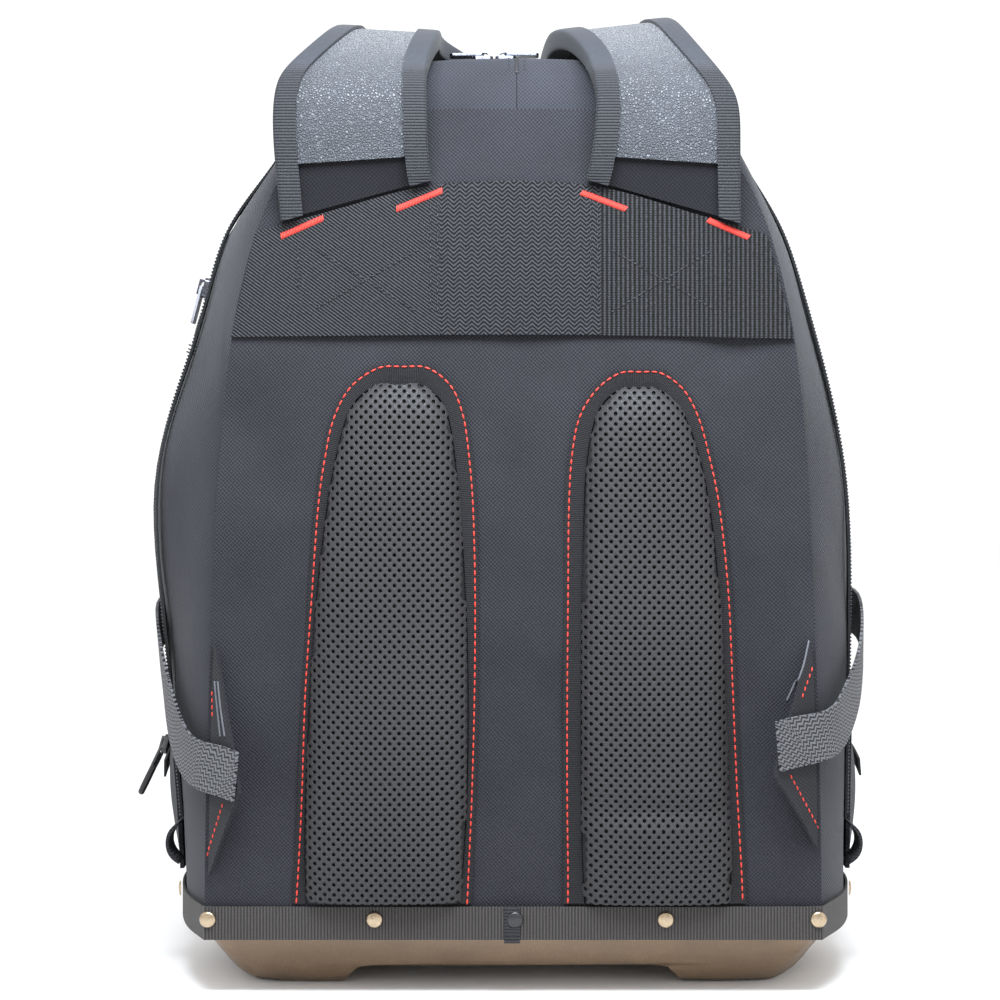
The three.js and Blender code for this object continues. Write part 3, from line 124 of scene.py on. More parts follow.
# %% [markdown]
# ## Light
#
# Black cloth shows its form only through soft light: a pale room all round, one wide soft
# light above and behind the viewer's head for the tops of the straps, and a weaker one from
# each side that runs along the weave.

# %% Room and lights
scene = bpy.context.scene
scene.view_settings.view_transform = "Standard"
room = bpy.data.worlds.new("room")
scene.world = room
room.use_nodes = True
room.node_tree.nodes["Background"].inputs["Color"].default_value = (1.0, 1.0, 1.0, 1)
room.node_tree.nodes["Background"].inputs["Strength"].default_value = 1.12


def soft_light(name, place, aim, size, power, colour=(1, 1, 1)):
    data = bpy.data.lights.new(name, "AREA")
    data.color = colour
    data.shape = "RECTANGLE"
    data.size, data.size_y = size
    data.energy = power
    light = bpy.data.objects.new(name, data)
    light.location = place
    light.rotation_euler = (Vector(aim) - Vector(place)).to_track_quat("-Z", "Y").to_euler()
    scene.collection.objects.link(light)


soft_light("top_light", (0.02, -0.42, 0.72), (0.01, -0.09, 0.4), (0.5, 0.25), 12, (0.86, 0.93, 1.0))
soft_light("left_light", (-1.3, -0.7, 0.9), (0, -0.05, 0.3), (0.4, 0.9), 4, (0.88, 0.93, 1.0))
soft_light("right_light", (1.3, -0.9, 0.8), (0, -0.05, 0.25), (0.5, 1.1), 4, (1.0, 0.97, 0.94))

# %% [markdown]
# ## Wiring materials
#
# Materials are small programs made of nodes. This little board keeps the wiring short:
# `put` adds a node, `calc` adds one sum, and plain numbers go straight into sockets.


# %% A board for nodes
def from_screen(red, green, blue):
    """A colour as read off a screen, turned into the light it stands for."""
    def part(value):
        value /= 255
        return value / 12.92 if value <= 0.04045 else ((value + 0.055) / 1.055) ** 2.4
    return part(red), part(green), part(blue), 1.0


class Board:
    def __init__(self, tree):
        self.tree = tree

    def put(self, kind, **settings):
        node = self.tree.nodes.new(kind)
        for key, value in settings.items():
            setattr(node, key, value)
        return node

    def feed(self, socket, value):
        if isinstance(value, bpy.types.NodeSocket):
            self.tree.links.new(value, socket)
        else:
            socket.default_value = value

    def calc(self, operation, *values):
        node = self.put("ShaderNodeMath", operation=operation)
        for socket, value in zip(node.inputs, values):
            self.feed(socket, value)
        return node.outputs[0]

    def ramp(self, value, low, high, to_low=0.0, to_high=1.0):
        node = self.put("ShaderNodeMapRange", clamp=True)
        for socket, number in zip(node.inputs[:5], (value, low, high, to_low, to_high)):
            self.feed(socket, number)
        return node.outputs[0]

    def speckle(self, place, scale, detail=2.0, rough=0.5):
        node = self.put("ShaderNodeTexNoise")
        self.feed(node.inputs["Vector"], place)
        self.feed(node.inputs["Scale"], scale)
        self.feed(node.inputs["Detail"], detail)
        self.feed(node.inputs["Roughness"], rough)
        return node.outputs["Fac"]


def new_group(name, inputs, outputs):
    """An empty node group with number inputs and number outputs; returns it, its board and its ends."""
    tree = bpy.data.node_groups.new(name, "ShaderNodeTree")
    for label, value in inputs:
        tree.interface.new_socket(label, in_out="INPUT", socket_type="NodeSocketFloat").default_value = value
    for label in outputs:
        tree.interface.new_socket(label, in_out="OUTPUT", socket_type="NodeSocketFloat")
    board = Board(tree)
    return tree, board, board.put("NodeGroupInput"), board.put("NodeGroupOutput")


print("board ready")

# %% [markdown]
# ## The weave of the bag's cloth
#
# The cloth is a thick basket weave: each yarn is about a millimetre wide and passes over and
# under its neighbours. A bump that is high where one sine is high and low where the other is
# gives that chequer of small cushions. The cloth faces all ways, so the pattern is laid along
# each axis and the three are mixed by the way the surface faces.

# %% Weave group
weave, board, ends_in, ends_out = new_group(
    "weave", [("Yarn", 1.0 * MM), ("Uneven", 0.35)], ["Height", "Shade", "Mottle"])
place = board.put("ShaderNodeTexCoord")
axes = board.put("ShaderNodeSeparateXYZ")
board.feed(axes.inputs[0], place.outputs["Object"])
facing = board.put("ShaderNodeSeparateXYZ")
board.feed(facing.inputs[0], place.outputs["Normal"])
wobble = board.speckle(place.outputs["Object"], 90.0, 2.0)
turn = board.calc("DIVIDE", math.pi, ends_in.outputs["Yarn"])
waves = []
for axis in axes.outputs:
    shifted = board.calc("MULTIPLY_ADD", wobble, 1.6 * MM, axis)
    waves.append(board.calc("SINE", board.calc("MULTIPLY", shifted, turn)))
shares = [board.calc("MULTIPLY", side, side) for side in facing.outputs]
parts = []
for index, (one, two) in enumerate(((1, 2), (0, 2), (0, 1))):
    cushions = board.calc("MULTIPLY", waves[one], waves[two])
    parts.append(board.calc("MULTIPLY", cushions, shares[index]))
chequer = board.calc("ADD", board.calc("ADD", parts[0], parts[1]), parts[2])
fibre = board.speckle(place.outputs["Object"], 1500.0, 2.0)
uneven = board.calc("MULTIPLY", board.calc("SUBTRACT", fibre, 0.5), ends_in.outputs["Uneven"])
height = board.calc("ADD", board.calc("MULTIPLY_ADD", chequer, 0.5, 0.5), uneven)
board.feed(ends_out.inputs["Height"], height)
board.feed(ends_out.inputs["Shade"], board.ramp(height, 0.1, 0.95, 0.55, 1.3))
cloudy = board.speckle(place.outputs["Object"], 22.0, 3.0, 0.6)
board.feed(ends_out.inputs["Mottle"], board.ramp(cloudy, 0.3, 0.7, 0.86, 1.14))
print("weave group", len(weave.nodes), "nodes")

# %% [markdown]
# ## Ribs of webbing and binding tape
#
# Webbing is woven with a strong rib across its length. Its pieces carry a map whose first
# number is the length along the piece, so the ribs follow every bend. The same group makes
# a twill when the second number, the place across, is let in.

# %% Rib group
ribs, board, ends_in, ends_out = new_group(
    "ribs", [("Rib", 2.0 * MM), ("Slant", 0.0), ("Fold", 0.0), ("Groove", 0.6)], ["Height", "Shade"])
lay = board.put("ShaderNodeUVMap", uv_map="run")
run = board.put("ShaderNodeSeparateXYZ")
board.feed(run.inputs[0], lay.outputs["UV"])
coords = board.put("ShaderNodeTexCoord")
fray = board.speckle(coords.outputs["Object"], 900.0, 2.0)
folded = board.calc("PINGPONG", run.outputs["X"], board.calc("MAXIMUM", ends_in.outputs["Fold"], 0.01 * MM))
chevron = board.calc("MULTIPLY_ADD", folded, 0.9, run.outputs["Y"])
slanted = board.calc("MULTIPLY_ADD", run.outputs["Y"], ends_in.outputs["Slant"], run.outputs["X"])
is_folded = board.calc("GREATER_THAN", ends_in.outputs["Fold"], 0.05 * MM)
phase = board.calc("ADD", board.calc("MULTIPLY", chevron, is_folded),
                   board.calc("MULTIPLY", slanted, board.calc("SUBTRACT", 1, is_folded)))
ridge = board.calc("ABSOLUTE", board.calc("SINE", board.calc(
    "MULTIPLY", phase, board.calc("DIVIDE", math.pi, ends_in.outputs["Rib"]))))
weft = board.calc("SINE", board.calc("MULTIPLY", run.outputs["Y"], 2 * math.pi / (0.7 * MM)))
soft_weft = board.calc("MULTIPLY_ADD", weft, 0.12, ridge)
height = board.calc("MULTIPLY_ADD", board.calc("SUBTRACT", fray, 0.5), 0.45, soft_weft)
board.feed(ends_out.inputs["Height"], height)
lit = board.ramp(height, 0.3, 1.0)
above_groove = board.calc("SUBTRACT", 1.25, ends_in.outputs["Groove"])
board.feed(ends_out.inputs["Shade"], board.calc(
    "ADD", ends_in.outputs["Groove"], board.calc("MULTIPLY", lit, above_groove)))
print("rib group", len(ribs.nodes), "nodes")


# %% [markdown]
# ## Finishes
#
# A finish joins a group to a shader. Cloth and webbing get a little sheen, which is what
# lifts black cloth to grey where it turns away from the eye.


# %% Finishes of cloth and webbing
def blank(name, roughness, **sockets):
    """A material with its shader's plain sockets set; returns it, its board and its shader."""
    material = bpy.data.materials.new(name)
    material.use_nodes = True
    shader = material.node_tree.nodes["Principled BSDF"]
    shader.inputs["Roughness"].default_value = roughness
    for key, value in sockets.items():
        shader.inputs[key.replace("_", " ")].default_value = value
    return material, Board(material.node_tree), shader


def tinted(board, shader, colour, *shades):
    """Base colour: one colour times some shades between about 0 and 1.5."""
    total = shades[0]
    for shade in shades[1:]:
        total = board.calc("MULTIPLY", total, shade)
    scaled = board.put("ShaderNodeVectorMath", operation="SCALE")
    scaled.inputs[0].default_value = colour[:3]
    board.feed(scaled.inputs["Scale"], total)
    board.feed(shader.inputs["Base Color"], scaled.outputs[0])


def bumped(board, shader, height, distance, strength=1.0):
    bump = board.put("ShaderNodeBump")
    bump.inputs["Distance"].default_value = distance
    bump.inputs["Strength"].default_value = strength
    board.feed(bump.inputs["Height"], height)
    board.feed(shader.inputs["Normal"], bump.outputs["Normal"])


def use_group(board, tree, **values):
    node = board.put("ShaderNodeGroup", node_tree=tree)
    for key, value in values.items():
        board.feed(node.inputs[key], value)
    return node


def cloth(name, colour, yarn=1.0 * MM, depth=0.35 * MM, sheen=0.1):
    material, board, shader = blank(name, 0.82, Sheen_Weight=sheen, Sheen_Roughness=0.45,
                                    Specular_IOR_Level=0.15)
    woven = use_group(board, weave, Yarn=yarn)
    tinted(board, shader, colour, woven.outputs["Shade"], woven.outputs["Mottle"])
    bumped(board, shader, woven.outputs["Height"], depth)
    return material


def webbing(name, colour, rib, slant=0.0, fold=0.0, groove=0.6, depth=0.4 * MM, roughness=0.7):
    material, board, shader = blank(name, roughness, Sheen_Weight=0.08, Sheen_Roughness=0.4,
                                    Specular_IOR_Level=0.2)
    ribbed = use_group(board, ribs, Rib=rib, Slant=slant, Fold=fold, Groove=groove)
    tinted(board, shader, colour, ribbed.outputs["Shade"])
    bumped(board, shader, ribbed.outputs["Height"], depth)
    return material


panel_cloth = cloth("panel_cloth", from_screen(41, 41, 46), sheen=0.1)
gusset_cloth = cloth("gusset_cloth", from_screen(43, 44, 50), depth=0.25 * MM)
side_cloth = cloth("side_cloth", from_screen(41, 42, 47))
strap_cloth = cloth("strap_cloth", from_screen(24, 24, 28), depth=0.2 * MM)
wing_cloth = cloth("wing_cloth", from_screen(32, 32, 36), depth=0.25 * MM)
band_webbing = webbing("band_webbing", from_screen(60, 57, 56), 1.6 * MM, groove=0.5)
anchor_webbing = webbing("anchor_webbing", from_screen(92, 92, 96), 2.0 * MM, fold=1.6 * MM, groove=0.04)
flange_tape = webbing("flange_tape", from_screen(28, 27, 30), 0.9 * MM, groove=0.3, depth=0.2 * MM)
loop_tape = webbing("loop_tape", from_screen(44, 44, 48), 1.6 * MM, groove=0.5)
zip_tape = webbing("zip_tape", from_screen(30, 31, 34), 1.1 * MM, slant=0.8, depth=0.2 * MM)

# The binding is ribbed up the back and smooth where it bends over the top of the strap.
binding_tape, board, shader = blank("binding_tape", 0.62, Sheen_Weight=0.06, Specular_IOR_Level=0.3)
ribbed = use_group(board, ribs, Rib=1.5 * MM, Slant=0.0, Fold=0.0, Groove=0.35)
coords = board.put("ShaderNodeTexCoord")
axes = board.put("ShaderNodeSeparateXYZ")
board.feed(axes.inputs[0], coords.outputs["Object"])
smooth_part = board.ramp(axes.outputs["Z"], 459 * MM, 465 * MM)
plain = board.ramp(board.speckle(coords.outputs["Object"], 500.0), 0.3, 0.7, 0.9, 1.1)
tone = board.put("ShaderNodeMix", data_type="FLOAT")
for socket, value in (("Factor", smooth_part), ("A", ribbed.outputs["Shade"]),
                      ("B", board.calc("MULTIPLY", plain, 1.55))):
    board.feed(tone.inputs[socket], value)
tinted(board, shader, from_screen(32, 34, 39), tone.outputs["Result"])
ribbed_part = board.calc("SUBTRACT", 1, smooth_part)
bumped(board, shader, board.calc("MULTIPLY", ribbed.outputs["Height"], ribbed_part), 0.35 * MM)
print("cloth and webbing finishes", len(bpy.data.materials))

# %% [markdown]
# ## Grain for leather and moulded plastic
#
# Leather shows pebbles a millimetre or two across, parted by fine creases. Cells give the
# pebbles and the distance to a cell's edge gives the creases. The moulded base has a much
# finer, shallower grain of the same kind, so both finishes use one group.

# %% Grain group and the finishes that use it
grain, board, ends_in, ends_out = new_group(
    "grain", [("Cells", 600.0), ("Crease", 0.2)], ["Height", "Shade", "Cloud"])
coords = board.put("ShaderNodeTexCoord")
bend = board.put("ShaderNodeTexNoise")
bend.inputs["Scale"].default_value = 220.0
board.feed(bend.inputs["Vector"], coords.outputs["Object"])
warp = board.put("ShaderNodeVectorMath", operation="MULTIPLY_ADD")
board.feed(warp.inputs[0], bend.outputs["Color"])
warp.inputs[1].default_value = (1.6 * MM,) * 3
board.feed(warp.inputs[2], coords.outputs["Object"])
cells = board.put("ShaderNodeTexVoronoi", feature="DISTANCE_TO_EDGE")
board.feed(cells.inputs["Vector"], warp.outputs[0])
board.feed(cells.inputs["Scale"], ends_in.outputs["Cells"])
pebble = board.ramp(cells.outputs["Distance"], 0.0, ends_in.outputs["Crease"])
fine = board.speckle(coords.outputs["Object"], 1800.0, 2.0)
board.feed(ends_out.inputs["Height"], board.calc("MULTIPLY_ADD", fine, 0.25, pebble))
board.feed(ends_out.inputs["Shade"], board.ramp(pebble, 0.0, 1.0, 0.62, 1.06))
cloud = board.speckle(coords.outputs["Object"], 30.0, 3.0, 0.6)
board.feed(ends_out.inputs["Cloud"], board.ramp(cloud, 0.3, 0.7, 0.85, 1.15))

leather, board, shader = blank("leather", 0.45, Specular_IOR_Level=0.6, Sheen_Weight=0.15)
grained = use_group(board, grain, Cells=720.0, Crease=0.3)
tinted(board, shader, from_screen(62, 66, 74), grained.outputs["Shade"], grained.outputs["Cloud"])
bumped(board, shader, grained.outputs["Height"], 0.7 * MM)
board.feed(shader.inputs["Roughness"], board.ramp(grained.outputs["Height"], 0, 1.2, 0.62, 0.4))

mould, board, shader = blank("mould", 0.42, Specular_IOR_Level=0.5)
grained = use_group(board, grain, Cells=1400.0, Crease=0.5)
tinted(board, shader, from_screen(124, 102, 80), grained.outputs["Shade"], grained.outputs["Cloud"])
bumped(board, shader, grained.outputs["Height"], 0.06 * MM)
board.feed(shader.inputs["Roughness"], board.ramp(grained.outputs["Cloud"], 0.85, 1.15, 0.36, 0.5))
print("grain group", len(grain.nodes), "nodes")


# %% [markdown]
# ## Hard finishes and thread
#
# Plain metal and plastic still have a surface: fine scuffs change how rough they are.


# %% Hard finishes
def scuffed(name, colour, metallic, roughness, fleck=500.0):
    material, board, shader = blank(name, roughness, Metallic=metallic)
    coords = board.put("ShaderNodeTexCoord")
    scuff = board.speckle(coords.outputs["Object"], fleck, 3.0, 0.65)
    tinted(board, shader, colour, board.ramp(scuff, 0.3, 0.7, 0.85, 1.12))
    board.feed(shader.inputs["Roughness"], board.ramp(scuff, 0.3, 0.7, roughness * 0.7, roughness * 1.4))
    bumped(board, shader, scuff, 0.03 * MM)
    return material


rivet_metal = scuffed("rivet_metal", from_screen(168, 150, 126), 1.0, 0.3)
dark_metal = scuffed("dark_metal", from_screen(88, 90, 98), 1.0, 0.22)
black_plastic = scuffed("black_plastic", from_screen(28, 28, 31), 0.0, 0.25)
grey_plastic = scuffed("grey_plastic", from_screen(150, 150, 158), 0.0, 0.5)
foam = scuffed("foam", from_screen(12, 12, 13), 0.0, 0.95, 300.0)
mesh_knit = scuffed("mesh_knit", from_screen(37, 36, 38), 0.0, 0.7, 1400.0)
red_thread = scuffed("red_thread", from_screen(200, 52, 40), 0.0, 0.6, 900.0)
black_thread = scuffed("black_thread", from_screen(22, 22, 25), 0.0, 0.6, 900.0)
# A light grey for the wings' turned edges, much lighter than the wing cloth they are folded from: a painted
# highlight along the folds.
fold_highlight_cloth = scuffed("fold_highlight_cloth", from_screen(84, 86, 92), 0.0, 0.7, 900.0)
coil_plastic = scuffed("coil_plastic", from_screen(30, 30, 33), 0.0, 0.3, 700.0)
print("finishes in all", len(bpy.data.materials))


# %% [markdown]
# ## From a solid to a smooth piece
#
# A solid's mesh is loose triangles with flat sides. A copy is merged, its triangles are
# paired to four-sided faces, its hard edges are creased so that a hem stays a hem, and
# subdivision rounds the rest. The copy then stands for the solid.


# %% Smooth copies
def bare_mesh(mesh):
    if "custom_normal" in mesh.attributes:
        mesh.attributes.remove(mesh.attributes["custom_normal"])
    return mesh


def add_piece(name, mesh, material, body, slot, *stands_for):
    piece = bpy.data.objects.new(name, mesh)
    scene.collection.objects.link(piece)
    mesh.materials.clear()
    mesh.materials.append(material)
    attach(piece, body)
    if stands_for:
        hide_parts(*stands_for)
    return piece


def settled(piece):
    """Applies a piece's modifiers to its mesh."""
    bpy.context.view_layer.update()
    shape = bpy.data.meshes.new_from_object(piece.evaluated_get(bpy.context.evaluated_depsgraph_get()))
    piece.modifiers.clear()
    piece.data = shape
    return piece


def smooth_copy(node, name, material, levels=2, crease=32, round_edge=0.0, hard=1.0):
    """A merged, rounded copy of a node, as a piece that stands for it."""
    bm = bmesh.new()
    bm.from_mesh(nodes[node].data)
    bmesh.ops.remove_doubles(bm, verts=bm.verts, dist=0.01 * MM)
    bmesh.ops.dissolve_degenerate(bm, dist=0.01 * MM, edges=bm.edges)
    bmesh.ops.join_triangles(bm, faces=bm.faces, angle_face_threshold=math.radians(crease),
                             angle_shape_threshold=math.radians(70))
    if round_edge:
        edges = [e for e in bm.edges if e.calc_face_angle(0) > math.radians(crease)]
        bmesh.ops.bevel(bm, geom=edges, offset=round_edge, affect="EDGES", segments=2, profile=0.5,
                        material=-1, clamp_overlap=True)
    elif levels:
        weight = bm.edges.layers.float.new("crease_edge")
        for edge in bm.edges:
            if edge.calc_face_angle(0) > math.radians(crease):
                edge[weight] = hard
    mesh = bpy.data.meshes.new(name)
    bm.to_mesh(mesh)
    bm.free()
    piece = add_piece(name, bare_mesh(mesh), material, body_of[node], slot_of[node], node)
    if levels:
        rounder = piece.modifiers.new("round", "SUBSURF")
        rounder.levels = rounder.render_levels = levels
        settled(piece)
    piece.data.shade_smooth()
    piece.data.set_sharp_from_angle(angle=math.radians(crease + 8))
    return piece


slot_of = {entry["node"]: entry["material_slot"] for entry in frame["record"]["subparts"]}
print("slots", sorted(set(slot_of.values())))


# %% [markdown]
# ## Soft dents and folds
#
# Cloth between seams is never quite flat. Each dent is a place, a reach and a depth, and
# both faces of the cloth move together, so the cloth keeps its thickness. Small slow
# waves are added everywhere.


# %% Dents and waves
def dented(piece, outward, dents=(), wave=0.0, scale=18.0, seed=0.0):
    """Moves a piece's points along outward(place) by dents and slow waves, in metres."""
    for vertex in piece.data.vertices:
        way = outward(vertex.co)
        push = wave * noise.noise(vertex.co * scale + Vector((seed, 0, 0)))
        for middle, reach, depth in dents:
            gap = vertex.co - middle
            share = (gap.x / reach[0]) ** 2 + (gap.y / reach[1]) ** 2 + (gap.z / reach[2]) ** 2
            if share < 6:
                push -= depth * math.exp(-share)
        vertex.co += way * push
    piece.data.update()


def sideways(place):
    return Vector((place.x, 0.25 * place.y, 0)).normalized()


def backwards(place):
    return Vector((0, -1, 0))


panel = smooth_copy("back_panel", "back_panel_cloth", panel_cloth, levels=3)
print("panel points", len(panel.data.vertices))

# %% [markdown]
# ## The bag's cloth
#
# The back panel lies flat and firm over its padding, with a few soft hollows near its
# seams. The sides hang freer, so their waves are larger.

# %% Panel, gussets, sides, front and pocket
PANEL_DENTS = [
    (seen(240, 425), (16 * MM, 0.1, 24 * MM), 3.4 * MM),
    (seen(235, 592), (18 * MM, 0.1, 26 * MM), 3.0 * MM),
    (seen(262, 505), (9 * MM, 0.1, 30 * MM), -1.6 * MM),
    (seen(765, 470), (14 * MM, 0.1, 40 * MM), 2.6 * MM),
    (seen(735, 350), (16 * MM, 0.1, 14 * MM), 2.2 * MM),
    (seen(520, 440), (18 * MM, 0.1, 60 * MM), 2.0 * MM),
    (seen(520, 760), (12 * MM, 0.1, 70 * MM), 1.8 * MM),
]
dented(panel, backwards, PANEL_DENTS, wave=1.6 * MM, scale=14.0)
SIDE_DENTS = {
    "left": [(seen(190, 300, 0.03), (30 * MM, 30 * MM, 40 * MM), 2.0 * MM),
             (seen(185, 520, 0.03), (30 * MM, 24 * MM, 50 * MM), 4.0 * MM),
             (seen(205, 380, 0.03), (30 * MM, 24 * MM, 20 * MM), 3.0 * MM),
             (seen(180, 640, 0.05), (30 * MM, 24 * MM, 30 * MM), 2.5 * MM)],
    "right": [(seen(800, 420, 0.03), (30 * MM, 30 * MM, 60 * MM), 2.0 * MM),
              (seen(835, 560, 0.04), (30 * MM, 24 * MM, 30 * MM), 2.0 * MM)],
}
for word in ("left", "right"):
    gusset = smooth_copy(f"gusset_{word}", f"gusset_{word}_cloth", gusset_cloth)
    dented(gusset, sideways, SIDE_DENTS[word], wave=0.6 * MM, scale=22.0)
    side = smooth_copy(f"body_side_{word}", f"body_side_{word}_cloth", side_cloth)
    dented(side, sideways, SIDE_DENTS[word], wave=0.8 * MM, scale=20.0)
smooth_copy("front_panel", "front_panel_cloth", side_cloth)
smooth_copy("front_pocket", "front_pocket_cloth", side_cloth)
print("cloth pieces", 7)

# %% [markdown]
# ## The moulded base
#
# One hard moulding with rounded corners. Its flat sides from the solid are rounded by one
# level of subdivision, with its hard edges partly creased, and smooth shading between them.

# %% Base tray
tray = smooth_copy("base_tray", "base_tray_mould", mould, levels=1, crease=40, hard=0.6)
print("tray points", len(tray.data.vertices))


# %% [markdown]
# ## Maps that run along webbing
#
# To make ribs cross the webbing everywhere, each corner of its mesh needs the length along
# the webbing. The nearest point of a line down its middle gives that, and the distance to
# the side of the line gives the second number.


# %% Running maps
def curve_through(points, step=1.0 * MM, closed=False):
    """Points about a step apart on a smooth line through a few given ones."""
    points = [Vector(p) for p in points]
    count = len(points)
    line = []
    for index in range(count if closed else count - 1):
        picks = [index - 1, index, index + 1, index + 2]
        a, b, c, d = (points[i % count] if closed else points[min(max(i, 0), count - 1)] for i in picks)
        pieces = max(1, round((c - b).length / step))
        for piece_index in range(pieces):
            t = piece_index / pieces
            line.append(0.5 * (2 * b + t * (c - a + t * (2 * a - 5 * b + 4 * c - d
                                                         + t * (3 * (b - c) + d - a)))))
    line.append(points[0] if closed else points[-1])
    return line


def map_along(piece, points, across, closed=False):
    """A map named run: the length along a line and the distance along a side way, in metres."""
    line = curve_through(points, closed=closed)
    tree = kdtree.KDTree(len(line))
    for index, point in enumerate(line):
        tree.insert(point, index)
    tree.balance()
    lengths = [0.0]
    for one, two in zip(line, line[1:]):
        lengths.append(lengths[-1] + (two - one).length)
    places = []
    for vertex in piece.data.vertices:
        near, index, _ = tree.find(vertex.co)
        ahead = (line[min(index + 1, len(line) - 1)] - line[max(index - 1, 0)]).normalized()
        gap = vertex.co - near
        places.append((lengths[index] + gap.dot(ahead), gap.dot(across)))
    layer = piece.data.uv_layers.new(name="run")
    for loop in piece.data.loops:
        layer.data[loop.index].uv = places[loop.vertex_index]


UP = Vector((0, 0, 1))
ACROSS = Vector((1, 0, 0))
ring = {}
for vertex in nodes["base_band"].data.vertices:
    turn_share = round(math.degrees(math.atan2(vertex.co.y, vertex.co.x)) / 6)
    if turn_share not in ring or ring[turn_share].length < vertex.co.xy.length:
        ring[turn_share] = vertex.co.xy
middle = sum(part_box("base_band"), Vector()).z / 2
band_line = [Vector((*ring[key], middle)) for key in sorted(ring)]
band = smooth_copy("base_band", "base_band_webbing", band_webbing)
map_along(band, band_line, UP, closed=True)
print("band line", len(band_line), "points")

# %% [markdown]
# ## The yoke
#
# A wide webbing crosses the top of the panel. Its left part is woven as a slanted twill,
# its middle as a herringbone and its right part with upright ribs, all light on black.

# %% Yoke finish and piece
yoke_webbing, board, shader = blank("yoke_webbing", 0.7, Sheen_Weight=0.04, Specular_IOR_Level=0.2)
coords = board.put("ShaderNodeTexCoord")
axes = board.put("ShaderNodeSeparateXYZ")
board.feed(axes.inputs[0], coords.outputs["Object"])
x, z = axes.outputs["X"], axes.outputs["Z"]


def stripes(phase, pitch):
    return board.calc("ABSOLUTE", board.calc("SINE", board.calc("MULTIPLY", phase, math.pi / pitch)))


columns = board.calc("PINGPONG", x, 3.0 * MM)
chevrons = stripes(board.calc("MULTIPLY_ADD", columns, 0.9, z), 2.1 * MM)
twill = stripes(board.calc("MULTIPLY_ADD", x, 0.75, z), 1.8 * MM)
upright = stripes(x, 2.3 * MM)
upright = board.calc("MULTIPLY", upright, board.calc(
    "MULTIPLY_ADD", stripes(z, 1.2 * MM), 0.35, 0.65))
left_part = board.ramp(x, MIDDLE - 37 * MM, MIDDLE - 36 * MM, 1, 0)
right_part = board.ramp(x, MIDDLE + 43 * MM, MIDDLE + 44 * MM)
pattern = board.calc("ADD", board.calc("MULTIPLY", twill, left_part),
                     board.calc("MULTIPLY", chevrons, board.calc("SUBTRACT", 1, left_part)))
pattern = board.calc("ADD", board.calc("MULTIPLY", upright, right_part),
                     board.calc("MULTIPLY", pattern, board.calc("SUBTRACT", 1, right_part)))
fuzz = board.speckle(coords.outputs["Object"], 1100.0, 2.0)
worn = board.calc("MULTIPLY_ADD", board.calc("SUBTRACT", fuzz, 0.5), 0.6, pattern)
tinted(board, shader, from_screen(56, 56, 61), board.ramp(worn, 0.5, 1.2, 0.015, 1.2))
bumped(board, shader, worn, 0.6 * MM)
yoke = smooth_copy("yoke_band", "yoke_webbing", yoke_webbing, levels=3)
print("yoke points", len(yoke.data.vertices))

# %% [markdown]
# ## Back pads
#
# Each pad is foam under a mesh with staggered holes. The foam is a smooth dark cushion. The
# mesh is a grid of diamonds, each inset and opened, laid over the foam from behind, so the
# holes are real and the foam shows through them.

# %% Pad outlines
# Heights from the floor and the mesh's two edges across from the middle, in millimetres.
PAD_EDGES = {
    "left": [(46.5, -102.6, -27.0), (66.5, -103.5, -25.0), (101.6, -103.0, -23.0), (151.5, -101.0, -22.3),
             (201.5, -97.5, -23.6), (243.6, -92.6, -27.0), (268.5, -87.9, -29.0), (286.5, -83.5, -31.6),
             (297.9, -77.0, -37.0), (304.4, -67.0, -46.2)],
    "right": [(46.5, 36.0, 107.5), (66.5, 34.7, 108.6), (101.6, 34.3, 106.9), (151.5, 34.2, 104.6),
              (201.5, 34.5, 102.6), (243.6, 35.4, 97.9), (268.5, 36.8, 92.9), (286.5, 40.3, 86.5),
              (296.9, 46.2, 79.5), (302.6, 54.1, 71.0)],
}
DIAMOND = (4.6 * MM, 5.0 * MM)


def edges_at(side, height):
    rows = PAD_EDGES[side]
    heights = [row[0] * MM for row in rows]
    return (MIDDLE + np.interp(height, heights, [row[1] * MM for row in rows]),
            MIDDLE + np.interp(height, heights, [row[2] * MM for row in rows]))


print("pad heights", PAD_EDGES["left"][0][0], "to", PAD_EDGES["left"][-1][0], "mm")


# %% [markdown]
# ## Foam, mesh and a dark rim of painted shadow
#
# A strip is made ring by ring along a line, with eight points in each ring, so the same
# function gives a round strip and a flat tape. The mesh starts as a flat grid of diamonds,
# is cut along the pad's outline, and each of its points is then laid on the foam. A dark
# round strip along each pad's rim hides the mesh's cut edge and is the painted shadow where
# the pad's bulge meets its flange.

# %% Foam and mesh
def surface_of(*pieces):
    """A ray target made of some pieces' faces."""
    bm = bmesh.new()
    for piece in pieces:
        bm.from_mesh(piece.data)
    tree = BVHTree.FromBMesh(bm)
    bm.free()
    return tree


def onto(tree, x, z, lift=0.0, start=-0.3):
    """The place on a surface straight behind (x, z), lifted towards the viewer; None if missed."""
    place, normal, _, _ = tree.ray_cast(Vector((x, start, z)), Vector((0, 1, 0)))
    if place is None:
        return None
    return place + (normal if normal.y < 0 else -normal) * lift


